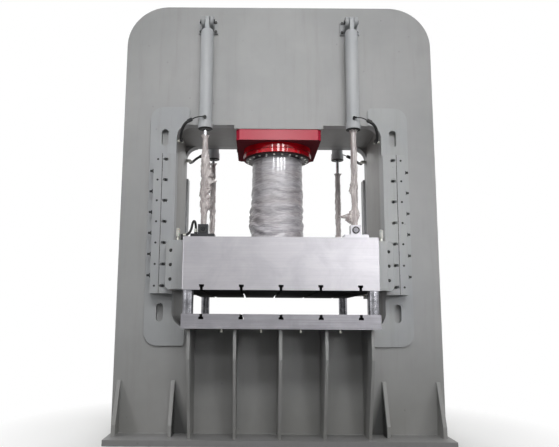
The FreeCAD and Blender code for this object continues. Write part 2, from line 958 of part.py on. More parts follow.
def hose_elbow():
    """Elbow screwed into the return cylinder, where the pipe starts."""
    mouth = hose_place(pipe_route[0])
    centre = Vec(return_x, mouth.y, mouth.z)
    wall = Vec(return_x, -return_y, mouth.z)
    elbow = elbow_joint(centre, wall, elbow_radius, mouth, elbow_arm_radius)
    seat = rod(barrel_radius + seat_clearance, (return_x, -return_y, head_bottom),
               (return_x, -return_y, barrel_top))
    return elbow.cut(seat)


def hose_union():
    """Elbow on the window's wall, where the hose passes into the frame."""
    mouth = hose_place(hose_route[-1])
    centre = mouth + Vec(0, socket_arm, 0)
    return elbow_joint(centre, Vec(window_half, centre.y, centre.z), socket_radius,
                       mouth, hose_radius)


# Route of the lubrication hose: offsets outwards and backwards from the return
# cylinder's axis, and heights above the slider's top.
lube_route = [(80, -12, 110), (80, -12, 160), (82, -44, 204), (89, -88, 222), (97, -134, 210),
              (103, -172, 172), (107, -200, 128), (114, -216, 95), (134, -216, 64),
              (160, -192, 56), (187, -168, 56)]


def lube_place(offsets):
    x, y, z = offsets
    return Vec(return_x + x, -return_y + y, slider_top + z)


def slider_hose():
    hose = tube_along([lube_place(p) for p in lube_route], lube_hose_radius, "slider hose")
    return mirrored(hose, -1, -1)


def slider_hose_fittings():
    """Gland on the rod foot where the hose starts, and elbow on the shoe where it ends."""
    low = slider_top + rod_foot_thickness
    x = return_x + lube_gland_from_axis
    y = -return_y - lube_gland_forward
    gland = hex_prism(lube_gland_across, (x, y, low), (x, y, low + lube_gland_length))
    centre = Vec(slider_half + lube_elbow_from_side, -shoe_face + lube_elbow_from_face,
                 slider_top + lube_elbow_height)
    elbow = elbow_joint(centre, Vec(centre.x, centre.y, slider_top), lube_elbow_radius,
                        lube_place(lube_route[-1]), lube_hose_radius)
    return group([mirrored(gland, -1, -1), mirrored(elbow, -1, -1)])


# ---- Export ----
def mirrored_nodes(name, shape):
    return {name + "_" + key: mirrored(shape, *place) for key, place in CORNERS.items()}


def build_nodes():
    nodes = {
        "base_plate": base_plate(),
        "front_frame_plate": frame_plate_shape(),
        "rear_frame_plate": mirrored(frame_plate_shape(), 1, 1),
        "side_plates": left_and_right(side_plate()),
        "crown_cover": crown_cover(),
        "window_walls": left_and_right(window_wall_plate()),
        "crown_floor_plate": crown_floor_plate(),
        "bed_plate": bed_plate_shape(),
    }
    nodes.update(mirrored_nodes("doubler", doubler()))
    nodes.update(mirrored_nodes("guide_bar", guide_bar()))
    nodes["backing_bars"] = group(at_four_corners([backing_bar()]))
    nodes["guide_bolts"] = guide_bolts()
    nodes["guide_dowels"] = guide_dowels()
    nodes["guide_adjusters"] = guide_adjusters()
    nodes["cylinder_seat"] = cylinder_seat()
    nodes["main_cylinder"] = main_cylinder()
    nodes["gland_flange"] = gland_flange()
    nodes["packing_ring"] = packing_ring()
    nodes["packing_screws"] = packing_screws()
    for key, (side, end) in CORNERS.items():
        nodes["return_barrel_" + key] = placed(mirrored(return_barrel(), side, end), side, end)
    nodes["return_heads"] = group(at_return_cylinders([return_head()]))
    nodes["return_brackets"] = group(at_return_cylinders([return_bracket()]))
    nodes["return_pins"] = group(at_return_cylinders([return_pin()]))
    nodes["bracket_bolts"] = group(at_return_cylinders(bracket_bolts()))
    nodes["bolster_top"] = bolster_top_shape()
    nodes["bolster_lower"] = bolster_lower_shape()
    nodes["bolster_screws"] = bolster_screws()
    nodes["bolster_ribs"] = bolster_ribs()
    nodes["base_gussets"] = base_gussets()
    nodes["stop_columns"] = stop_columns()
    pipe, hose = hose_parts()
    nodes["return_pipes"] = group(at_four_corners([pipe]))
    nodes["return_hoses"] = group(at_four_corners([hose]))
    nodes["hose_elbows"] = group(at_four_corners([hose_elbow()]))
    nodes["hose_unions"] = group(at_four_corners([hose_union()]))
    nodes["slider_block"] = slider_block()
    nodes.update(mirrored_nodes("guide_shoe", guide_shoe()))
    nodes["guide_liners"] = guide_liners()
    nodes["shoe_bolts"] = shoe_bolts()
    nodes["oilers"] = oilers()
    nodes["slider_hose"] = slider_hose()
    nodes["slider_hose_fittings"] = slider_hose_fittings()
    nodes["ram"] = ram()
    nodes["ram_clamp"] = ram_clamp()
    nodes["ram_film"] = ram_film()
    nodes["return_rods"] = group(at_return_cylinders([return_rod()]))
    nodes["rod_feet"] = group(at_return_cylinders([rod_foot()]))
    nodes["rod_blocks"] = group(at_return_cylinders([rod_block()]))
    nodes["rod_films"] = group(at_return_cylinders([rod_film()]))
    return nodes


os.makedirs("parts", exist_ok=True)
for node_name, node_shape in build_nodes().items():
    if not node_shape.isValid():
        print("not valid:", node_name)
    node_shape.exportStep("parts/" + node_name + ".step")
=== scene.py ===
import math
import bmesh
import bpy
from mathutils import Matrix, Vector, noise


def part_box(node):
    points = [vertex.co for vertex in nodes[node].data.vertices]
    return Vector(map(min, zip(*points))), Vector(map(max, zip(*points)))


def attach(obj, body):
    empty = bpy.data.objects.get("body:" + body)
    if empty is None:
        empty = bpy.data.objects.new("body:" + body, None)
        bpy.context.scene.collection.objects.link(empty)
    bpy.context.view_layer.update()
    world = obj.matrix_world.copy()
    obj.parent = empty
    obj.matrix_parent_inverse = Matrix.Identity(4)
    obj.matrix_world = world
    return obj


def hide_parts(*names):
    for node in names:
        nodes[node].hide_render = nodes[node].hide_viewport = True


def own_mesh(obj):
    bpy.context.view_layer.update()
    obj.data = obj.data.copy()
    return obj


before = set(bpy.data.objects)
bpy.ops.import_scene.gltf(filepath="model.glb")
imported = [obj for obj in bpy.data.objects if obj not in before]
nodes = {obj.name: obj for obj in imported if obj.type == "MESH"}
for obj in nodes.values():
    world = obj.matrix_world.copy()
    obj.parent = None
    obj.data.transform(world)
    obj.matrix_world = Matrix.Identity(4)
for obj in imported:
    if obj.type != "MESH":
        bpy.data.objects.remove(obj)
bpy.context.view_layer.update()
bpy.ops.object.select_all(action="DESELECT")
print("frame loaded:", len(nodes), "nodes")


def linear(hexColour):
    # sRGB hex to the linear values that the shaders take
    parts = [int(hexColour[i:i + 2], 16) / 255 for i in (1, 3, 5)]
    return [p / 12.92 if p <= 0.04045 else ((p + 0.055) / 1.055) ** 2.4 for p in parts] + [1.0]


def addNode(tree, kind, inputs=None, **settings):
    node = tree.nodes.new(kind)
    for name, value in settings.items():
        setattr(node, name, value)
    for key, value in (inputs or {}).items():
        if isinstance(value, bpy.types.NodeSocket):
            tree.links.new(value, node.inputs[key])
        else:
            node.inputs[key].default_value = value
    return node


def newMaterial(name, sockets):
    # an empty material with its shader, whose plain numbers are set here
    material = bpy.data.materials.new(name)
    material.use_nodes = True
    tree = material.node_tree
    tree.nodes.clear()
    skin = addNode(tree, "ShaderNodeBsdfPrincipled", sockets)
    addNode(tree, "ShaderNodeOutputMaterial", {"Surface": skin.outputs["BSDF"]})
    place = addNode(tree, "ShaderNodeTexCoord").outputs["Object"]
    return material, tree, skin, place


# machine enamel, sprayed over flame-cut and filled plate: soft gloss, faint orange peel, old runs,
# a few chips, dust low down, and a painted shadow in the inner corners
enamelLook = {
    "colour": "#a3a3a3", "shade": "#9a9b9b", "cloudMm": 850, "cloudEdge": (0.35, 0.65),
    "dust": "#85837c", "lowDust": 0.75, "dustFrom": 0.02, "dustTo": 1.1,
    "runs": 0.25, "runStretch": (9.0, 9.0, 0.7), "runScale": 1.6, "runEdge": (0.52, 0.78),
    "chip": "#5d5b57", "chips": 0.25, "chipMm": 210, "chipEdge": (0.03, 0.06),
    # painted shadow in the inner corners: its tone, its strength, and the slope, edges and reach
    # of its outline
    "cornerShadowTone": "#2b2e2e", "corners": 0.8, "shadowSlope": -0.29, "shadowEdge": (0.91, 0.99),
    "cornerSide": (1.128, 1.124), "cornerTop": (0.62, 0.56),
    "gloss": (0.42, 0.58), "peelMm": 14, "peel": 0.12, "peelDepthMm": 1,
}


def machineEnamel(name, look):
    material, tree, skin, place = newMaterial(name, {"IOR": 1.5, "Metallic": 0.0})
    parts = addNode(tree, "ShaderNodeSeparateXYZ", {"Vector": place})
    cloud = addNode(tree, "ShaderNodeTexNoise", {
        "Vector": place, "Scale": 1000 / look["cloudMm"], "Detail": 4.0, "Roughness": 0.6})
    fade = addNode(tree, "ShaderNodeMapRange", {
        "Value": cloud.outputs["Fac"], "From Min": look["cloudEdge"][0],
        "From Max": look["cloudEdge"][1]})
    tone = addNode(tree, "ShaderNodeMix", {
        0: fade.outputs["Result"], 6: linear(look["colour"]), 7: linear(look["shade"])},
        data_type="RGBA").outputs[2]
    stretch = addNode(tree, "ShaderNodeMapping", {"Vector": place, "Scale": look["runStretch"]})
    run = addNode(tree, "ShaderNodeTexNoise", {
        "Vector": stretch.outputs["Vector"], "Scale": look["runScale"], "Detail": 5.0,
        "Roughness": 0.65})
    runs = addNode(tree, "ShaderNodeMapRange", {
        "Value": run.outputs["Fac"], "From Min": look["runEdge"][0],
        "From Max": look["runEdge"][1], "To Max": look["runs"]})
    tone = addNode(tree, "ShaderNodeMix", {
        0: runs.outputs["Result"], 6: tone, 7: linear(look["dust"])},
        data_type="RGBA").outputs[2]
    low = addNode(tree, "ShaderNodeMapRange", {
        "Value": parts.outputs["Z"], "From Min": look["dustFrom"], "From Max": look["dustTo"],
        "To Min": look["lowDust"], "To Max": 0.0})
    grime = addNode(tree, "ShaderNodeMath", {
        0: low.outputs["Result"], 1: cloud.outputs["Fac"]}, operation="MULTIPLY")
    tone = addNode(tree, "ShaderNodeMix", {
        0: grime.outputs["Value"], 6: tone, 7: linear(look["dust"])},
        data_type="RGBA").outputs[2]
    chip = addNode(tree, "ShaderNodeTexVoronoi", {
        "Vector": place, "Scale": 1000 / look["chipMm"]})
    chips = addNode(tree, "ShaderNodeMapRange", {
        "Value": chip.outputs["Distance"], "From Min": look["chipEdge"][0],
        "From Max": look["chipEdge"][1], "To Min": look["chips"], "To Max": 0.0})
    tone = addNode(tree, "ShaderNodeMix", {
        0: chips.outputs["Result"], 6: tone, 7: linear(look["chip"])},
        data_type="RGBA").outputs[2]
    # painted shadow: a dark tone laid in the corners between the inner gussets and the outer ribs,
    # standing for the shadow that falls there
    aside = addNode(tree, "ShaderNodeMath", {0: parts.outputs["X"]}, operation="ABSOLUTE")
    shadowLine = addNode(tree, "ShaderNodeMath", {
        0: parts.outputs["Z"], 1: look["shadowSlope"], 2: aside.outputs["Value"]},
        operation="MULTIPLY_ADD")
    corner = addNode(tree, "ShaderNodeMapRange", {
        "Value": shadowLine.outputs["Value"], "From Min": look["shadowEdge"][0],
        "From Max": look["shadowEdge"][1], "To Max": look["corners"]})
    within = addNode(tree, "ShaderNodeMapRange", {
        "Value": aside.outputs["Value"], "From Min": look["cornerSide"][0],
        "From Max": look["cornerSide"][1]})
    below = addNode(tree, "ShaderNodeMapRange", {
        "Value": parts.outputs["Z"], "From Min": look["cornerTop"][0],
        "From Max": look["cornerTop"][1]})
    beside = addNode(tree, "ShaderNodeMath", {
        0: corner.outputs["Result"], 1: within.outputs["Result"]}, operation="MULTIPLY")
    shadowedCorner = addNode(tree, "ShaderNodeMath", {
        0: beside.outputs["Value"], 1: below.outputs["Result"]}, operation="MULTIPLY")
    tone = addNode(tree, "ShaderNodeMix", {
        0: shadowedCorner.outputs["Value"], 6: tone, 7: linear(look["cornerShadowTone"])},
        data_type="RGBA").outputs[2]
    tree.links.new(tone, skin.inputs["Base Color"])
    rough = addNode(tree, "ShaderNodeMapRange", {
        "Value": run.outputs["Fac"], "To Min": look["gloss"][0], "To Max": look["gloss"][1]})
    tree.links.new(rough.outputs["Result"], skin.inputs["Roughness"])
    # the peel is about 3 mm apart in life, drawn at peelMm so that it shows
    peel = addNode(tree, "ShaderNodeTexNoise", {
        "Vector": place, "Scale": 1000 / look["peelMm"], "Detail": 2.0})
    bump = addNode(tree, "ShaderNodeBump", {
        "Height": peel.outputs["Fac"], "Strength": look["peel"],
        "Distance": look["peelDepthMm"] / 1000})
    tree.links.new(bump.outputs["Normal"], skin.inputs["Normal"])
    return material


guideLook = dict(enamelLook, colour="#a9abab", shade="#9d9fa2", runs=0.3)
paintGrey = machineEnamel("machineEnamelGrey", enamelLook)
# the base plate is darker all over, with none of the painted corner shadow
paintBase = machineEnamel("machineEnamelBase", dict(
    enamelLook, colour="#9a9a9c", dust="#797774", corners=0.0))
# lighter and a little cooler on the guides and their shoes
paintGuide = machineEnamel("machineEnamelGuides", guideLook)
# darker on the beads round the doubler plates
paintSeam = machineEnamel("machineEnamelSeams", dict(
    enamelLook, colour="#7d7d7b", shade="#6f6e6a"))
# painted light: the return cylinders are lighter than the frame, standing for the light that their
# round sides catch
paintBarrel = machineEnamel("machineEnamelBarrels", dict(
    guideLook, colour="#b9bbbd", shade="#adb0b3"))
# painted shade: darker inside the window, where less light falls, with more runs
paintInner = machineEnamel("machineEnamelInside", dict(
    enamelLook, colour="#8f8f8c", shade="#83827e", runs=0.5))


# mild steel, face-milled and stoned: long cutter passes, a dull sheen and hand marks
slabLook = {
    "colour": "#9f9da1", "dull": "#929195", "stain": "#7d7c81", "black": "#1a1c1d",
    "grain": 0.35, "specular": 0.2, "passMm": 118, "passTone": 0.18, "drift": (0.35, 4.0, 4.0),
    "markMm": 7, "markRun": 1.5, "lineTone": 0.25, "lineEdge": (0.45, 0.8),
    "smearMm": 260, "smearEdge": (0.38, 0.68), "gloss": (0.34, 0.46), "relief": 0.12,
    # painted shade on the front left corner: its strength and where it begins and ends
    "reliefMm": 0.6, "frontLeftShade": 0.0, "frontLeftShadeFrom": -1.2, "frontLeftShadeTo": -1.3,
    # painted shade on the undersides and inside the T-slots: its strength and the edges of its
    # masks
    "paintedShade": 0.96, "underEdge": (-0.3, -0.8), "wallEdge": (0.5, 0.9), "slotReach": (0.97, 0.96),
}


def milledSteel(name, look):
    material, tree, skin, place = newMaterial(name, {
        "Anisotropic": look["grain"], "Specular IOR Level": look["specular"]})
    parts = addNode(tree, "ShaderNodeSeparateXYZ", {"Vector": place})
    across = addNode(tree, "ShaderNodeMath", {
        0: parts.outputs["Z"], 1: parts.outputs["Y"]}, operation="ADD")
    swath = addNode(tree, "ShaderNodeMath", {
        0: across.outputs["Value"], 1: 1000 / look["passMm"]}, operation="MULTIPLY")
    stretch = addNode(tree, "ShaderNodeMapping", {"Vector": place, "Scale": look["drift"]})
    drift = addNode(tree, "ShaderNodeTexNoise", {
        "Vector": stretch.outputs["Vector"], "Scale": 2.0, "Detail": 3.0})
    wander = addNode(tree, "ShaderNodeMath", {
        0: swath.outputs["Value"], 1: drift.outputs["Fac"]}, operation="ADD")
    cut = addNode(tree, "ShaderNodeMath", {0: wander.outputs["Value"]}, operation="FRACT")
    # tool marks are about 0.5 mm apart in life, drawn at markMm so that they show
    fine = 1000 / look["markMm"]
    scratched = addNode(tree, "ShaderNodeMapping", {
        "Vector": place, "Scale": (look["markRun"], fine, fine)})
    marks = addNode(tree, "ShaderNodeTexNoise", {
        "Vector": scratched.outputs["Vector"], "Scale": 1.0, "Detail": 4.0, "Roughness": 0.7})
    smear = addNode(tree, "ShaderNodeTexNoise", {
        "Vector": place, "Scale": 1000 / look["smearMm"], "Detail": 5.0, "Roughness": 0.6,
        "Distortion": 0.6})
    fade = addNode(tree, "ShaderNodeMapRange", {
        "Value": smear.outputs["Fac"], "From Min": look["smearEdge"][0],
        "From Max": look["smearEdge"][1]})
    tone = addNode(tree, "ShaderNodeMix", {
        0: fade.outputs["Result"], 6: linear(look["colour"]), 7: linear(look["dull"])},
        data_type="RGBA").outputs[2]
    passes = addNode(tree, "ShaderNodeMapRange", {
        "Value": cut.outputs["Value"], "From Min": 0.0, "From Max": 1.0,
        "To Max": look["passTone"]})
    tone = addNode(tree, "ShaderNodeMix", {
        0: passes.outputs["Result"], 6: tone, 7: linear(look["dull"])},
        data_type="RGBA").outputs[2]
    lines = addNode(tree, "ShaderNodeMapRange", {
        "Value": marks.outputs["Fac"], "From Min": look["lineEdge"][0],
        "From Max": look["lineEdge"][1], "To Max": look["lineTone"]})
    tone = addNode(tree, "ShaderNodeMix", {
        0: lines.outputs["Result"], 6: tone, 7: linear(look["stain"])},
        data_type="RGBA").outputs[2]
    # painted shade: the front left corner of the press is darkened, standing for the shadow its
    # block stands in
    ahead = addNode(tree, "ShaderNodeMath", {
        0: parts.outputs["X"], 1: parts.outputs["Y"]}, operation="ADD")
    frontLeftShade = addNode(tree, "ShaderNodeMapRange", {
        "Value": ahead.outputs["Value"], "From Min": look["frontLeftShadeFrom"],
        "From Max": look["frontLeftShadeTo"], "To Max": look["frontLeftShade"]})
    # painted shade: the undersides and the walls inside the T-slots are blackened and made dull,
    # standing for the shade they lie in
    facet = addNode(tree, "ShaderNodeNewGeometry")
    slope = addNode(tree, "ShaderNodeSeparateXYZ", {"Vector": facet.outputs["Normal"]})
    under = addNode(tree, "ShaderNodeMapRange", {
        "Value": slope.outputs["Z"], "From Min": look["underEdge"][0],
        "From Max": look["underEdge"][1], "To Max": look["paintedShade"]})
    aside = addNode(tree, "ShaderNodeMath", {0: slope.outputs["X"]}, operation="ABSOLUTE")
    wall = addNode(tree, "ShaderNodeMapRange", {
        "Value": aside.outputs["Value"], "From Min": look["wallEdge"][0],
        "From Max": look["wallEdge"][1], "To Max": look["paintedShade"]})
    reach = addNode(tree, "ShaderNodeMath", {0: parts.outputs["X"]}, operation="ABSOLUTE")
    inside = addNode(tree, "ShaderNodeMapRange", {
        "Value": reach.outputs["Value"], "From Min": look["slotReach"][0],
        "From Max": look["slotReach"][1]})
    slotted = addNode(tree, "ShaderNodeMath", {
        0: wall.outputs["Result"], 1: inside.outputs["Result"]}, operation="MULTIPLY")
    paintedShade = addNode(tree, "ShaderNodeMath", {
        0: under.outputs["Result"], 1: slotted.outputs["Value"]}, operation="MAXIMUM")
    black = addNode(tree, "ShaderNodeMath", {
        0: paintedShade.outputs["Value"], 1: frontLeftShade.outputs["Result"]}, operation="MAXIMUM")
    tone = addNode(tree, "ShaderNodeMix", {
        0: black.outputs["Value"], 6: tone, 7: linear(look["black"])},
        data_type="RGBA").outputs[2]
    tree.links.new(tone, skin.inputs["Base Color"])
    bare = addNode(tree, "ShaderNodeMath", {
        0: 1.0, 1: paintedShade.outputs["Value"]}, operation="SUBTRACT")
    tree.links.new(bare.outputs["Value"], skin.inputs["Metallic"])
    shine = addNode(tree, "ShaderNodeMapRange", {
        "Value": marks.outputs["Fac"], "To Min": look["gloss"][0], "To Max": look["gloss"][1]})
    rough = addNode(tree, "ShaderNodeMath", {
        0: shine.outputs["Result"], 1: paintedShade.outputs["Value"]}, operation="MAXIMUM")
    tree.links.new(rough.outputs["Value"], skin.inputs["Roughness"])
    bump = addNode(tree, "ShaderNodeBump", {
        "Height": marks.outputs["Fac"], "Strength": look["relief"],
        "Distance": look["reliefMm"] / 1000})
    tree.links.new(bump.outputs["Normal"], skin.inputs["Normal"])
    return material


# the blocks and pins take the painted shade of the front left corner, and none on their undersides
blockLook = dict(slabLook, colour="#a3a2a6", dull="#939297", frontLeftShade=0.9, paintedShade=0.0)
steelSlab = milledSteel("milledSteelSlab", slabLook)
# the bolster's plates are more roughly milled, and stained by use
steelBolster = milledSteel("milledSteelBolster", dict(
    slabLook, colour="#8d8c90", dull="#7c7b80", stain="#626166", passTone=0.4, lineTone=0.6,
    markMm=10, relief=0.25))
steelBlock = milledSteel("milledSteelBlocks", blockLook)
steelPin = milledSteel("turnedSteelPins", dict(blockLook, colour="#77767a", dull="#66656a"))


# two-pack gloss enamel over a machined forging: deep colour, hard bright reflections
redLook = {
    "colour": "#bd2c45", "shade": "#b12138", "cloudMm": 500, "undersideShade": "#33080f",
    "underside": 0.8, "underEdge": (-0.3, -0.8), "specular": 0.3, "gloss": (0.16, 0.26),
    "peelMm": 18, "peel": 0.05, "peelDepthMm": 1,
}


def redEnamel(name, look):
    material, tree, skin, place = newMaterial(name, {
        "IOR": 1.5, "Specular IOR Level": look["specular"]})
    cloud = addNode(tree, "ShaderNodeTexNoise", {
        "Vector": place, "Scale": 1000 / look["cloudMm"], "Detail": 3.0})
    tone = addNode(tree, "ShaderNodeMix", {
        0: cloud.outputs["Fac"], 6: linear(look["colour"]), 7: linear(look["shade"])},
        data_type="RGBA").outputs[2]
    # painted shade: the faces that look down are darkened
    facet = addNode(tree, "ShaderNodeNewGeometry")
    slope = addNode(tree, "ShaderNodeSeparateXYZ", {"Vector": facet.outputs["Normal"]})
    under = addNode(tree, "ShaderNodeMapRange", {
        "Value": slope.outputs["Z"], "From Min": look["underEdge"][0],
        "From Max": look["underEdge"][1], "To Max": look["underside"]})
    tone = addNode(tree, "ShaderNodeMix", {
        0: under.outputs["Result"], 6: tone, 7: linear(look["undersideShade"])},
        data_type="RGBA").outputs[2]
    tree.links.new(tone, skin.inputs["Base Color"])
    shine = addNode(tree, "ShaderNodeMapRange", {
        "Value": cloud.outputs["Fac"], "To Min": look["gloss"][0], "To Max": look["gloss"][1]})
    rough = addNode(tree, "ShaderNodeMath", {
        0: shine.outputs["Result"], 1: under.outputs["Result"]}, operation="ADD")
    tree.links.new(rough.outputs["Value"], skin.inputs["Roughness"])
    # the peel is about 3 mm apart in life, drawn at peelMm so that it shows
    peel = addNode(tree, "ShaderNodeTexNoise", {
        "Vector": place, "Scale": 1000 / look["peelMm"], "Detail": 1.0})
    bump = addNode(tree, "ShaderNodeBump", {
        "Height": peel.outputs["Fac"], "Strength": look["peel"],
        "Distance": look["peelDepthMm"] / 1000})
    tree.links.new(bump.outputs["Normal"], skin.inputs["Normal"])
    return material


paintRed = redEnamel("glossEnamelRed", redLook)
# the gland was sprayed by itself: brighter and glossier
paintGland = redEnamel("glossEnamelGland", dict(
    redLook, colour="#d20c20", shade="#bc0819", specular=0.5, gloss=(0.05, 0.1)))


# steel or bronze with a worked skin of its own; lines from the work run across a cloudy tone, and
# stretch says which way they lie
chromeLook = {
    "colour": "#dcdde0", "shade": "#c8cace", "metallic": 1.0, "grain": 0.2, "lineMm": 8,
    "stretch": (1.0, 1.0, 14.0), "cloudMm": 180, "cloudEdge": (0.4, 0.7),
    "gloss": (0.08, 0.2), "relief": 0.05, "reliefMm": 0.4,
}
blackLook = dict(
    chromeLook, colour="#222325", shade="#343332", metallic=0.6, grain=0.0, lineMm=5,
    stretch=(1.0, 1.0, 1.0), cloudMm=30, gloss=(0.4, 0.6), relief=0.2)
zincLook = dict(
    chromeLook, colour="#c2c3bd", shade="#a9a89c", grain=0.0, lineMm=4,
    stretch=(1.0, 1.0, 1.0), cloudMm=22, gloss=(0.25, 0.45), relief=0.15)


def bareMetal(name, look):
    material, tree, skin, place = newMaterial(name, {
        "Metallic": look["metallic"], "Anisotropic": look["grain"]})
    stretch = addNode(tree, "ShaderNodeMapping", {"Vector": place, "Scale": look["stretch"]})
    # the lines are well under 1 mm apart in life, drawn at lineMm so that they show
    lines = addNode(tree, "ShaderNodeTexNoise", {
        "Vector": stretch.outputs["Vector"], "Scale": 1000 / look["lineMm"], "Detail": 3.0,
        "Roughness": 0.65})
    cloud = addNode(tree, "ShaderNodeTexNoise", {
        "Vector": place, "Scale": 1000 / look["cloudMm"], "Detail": 4.0})
    fade = addNode(tree, "ShaderNodeMapRange", {
        "Value": cloud.outputs["Fac"], "From Min": look["cloudEdge"][0],
        "From Max": look["cloudEdge"][1]})
    tone = addNode(tree, "ShaderNodeMix", {
        0: fade.outputs["Result"], 6: linear(look["colour"]), 7: linear(look["shade"])},
        data_type="RGBA").outputs[2]
    tree.links.new(tone, skin.inputs["Base Color"])
    rough = addNode(tree, "ShaderNodeMapRange", {
        "Value": lines.outputs["Fac"], "To Min": look["gloss"][0], "To Max": look["gloss"][1]})
    tree.links.new(rough.outputs["Result"], skin.inputs["Roughness"])
    bump = addNode(tree, "ShaderNodeBump", {
        "Height": lines.outputs["Fac"], "Strength": look["relief"],
        "Distance": look["reliefMm"] / 1000})
    tree.links.new(bump.outputs["Normal"], skin.inputs["Normal"])
    return material


# hard chrome, ground and polished: a mirror with faint rings
chrome = bareMetal("hardChrome", chromeLook)
# black oxide: dark and dull, with a little sheen
blackSteel = bareMetal("blackOxideSteel", blackLook)
# bolts wiped with oil, browner where it has dried
boltSteel = bareMetal("oiledSteelBolts", dict(
    blackLook, colour="#2f3032", shade="#42413e", metallic=0.7))
# turned columns with upright wear marks
turnedSteel = bareMetal("turnedSteelColumns", dict(
    chromeLook, colour="#8b8b90", shade="#606064", cloudMm=70, stretch=(9.0, 9.0, 0.8),
    gloss=(0.18, 0.36)))
# zinc plating: light, slightly yellow and mottled
zincSteel = bareMetal("zincPlatedSteel", zincLook)
# cast bronze, machined: warm, with lines across the travel
bronze = bareMetal("castBronze", dict(
    zincLook, colour="#b28b4e", shade="#8d6c3c", grain=0.1, lineMm=6, stretch=(1.0, 1.0, 6.0),
    cloudMm=60, gloss=(0.3, 0.5)))
# zinc gone grey in the weather
dullZinc = bareMetal("weatheredZinc", dict(zincLook, colour="#7f807b", shade="#65645d"))
# oxide under a reddish film of oil
oilySteel = bareMetal("oilyBlackSteel", dict(
    blackLook, colour="#1c0d0f", shade="#2c1215", metallic=0.2))
# grease, dark with wear
jointGrease = bareMetal("jointGrease", dict(
    blackLook, colour="#3a3936", shade="#4a4843", metallic=0.0))


# black nitrile rubber hose cover, cloth-wrapped when cured: dull, with a fine woven print
rubberLook = {
    "colour": "#0d0d0e", "dust": "#2c2b29", "dusty": 0.6, "dustMm": 60, "dustEdge": (0.5, 0.75),
    "weaveMm": 3, "weave": 0.35, "weaveDepthMm": 0.8, "gloss": (0.45, 0.7),
}


def hoseRubber(name, look):
    material, tree, skin, place = newMaterial(name, {"IOR": 1.5, "Specular IOR Level": 0.4})
    # the weave is about 1 mm apart in life, drawn at weaveMm so that it shows
    weave = addNode(tree, "ShaderNodeTexVoronoi", {
        "Vector": place, "Scale": 1000 / look["weaveMm"]})
    dust = addNode(tree, "ShaderNodeTexNoise", {
        "Vector": place, "Scale": 1000 / look["dustMm"], "Detail": 4.0})
    fade = addNode(tree, "ShaderNodeMapRange", {
        "Value": dust.outputs["Fac"], "From Min": look["dustEdge"][0],
        "From Max": look["dustEdge"][1], "To Max": look["dusty"]})
    tone = addNode(tree, "ShaderNodeMix", {
        0: fade.outputs["Result"], 6: linear(look["colour"]), 7: linear(look["dust"])},
        data_type="RGBA").outputs[2]
    tree.links.new(tone, skin.inputs["Base Color"])
    rough = addNode(tree, "ShaderNodeMapRange", {
        "Value": dust.outputs["Fac"], "To Min": look["gloss"][0], "To Max": look["gloss"][1]})
    tree.links.new(rough.outputs["Result"], skin.inputs["Roughness"])
    bump = addNode(tree, "ShaderNodeBump", {
        "Height": weave.outputs["Distance"], "Strength": look["weave"],
        "Distance": look["weaveDepthMm"] / 1000})
    tree.links.new(bump.outputs["Normal"], skin.inputs["Normal"])
    return material


rubber = hoseRubber("nitrileHoseCover", rubberLook)


# polyethylene stretch film, wound on in many turns: clear where thin, milky and glinting where it
# creases
ramFilmLook = {
    # shade is the warm tone of the painted reflection of the red flange
    "clear": "#bab7bc", "milky": "#dad7db", "shade": "#b8aca9", "warmReflectionTone": 0.38,
    "creaseScale": (7.0, 7.0, 44.0), "turnScale": (1.4, 1.4, 9.0), "specular": 0.38,
    "glintEdge": (0.42, 0.66), "warmReflectionEdge": (0.4, 0.66), "coverEdge": (0.35, 0.65),
    "cover": (0.62, 0.86), "thinning": 0.3, "thinFrom": 2.7, "thinTo": 3.3,
    "gloss": (0.24, 0.38), "relief": 0.17, "reliefMm": 3,
}


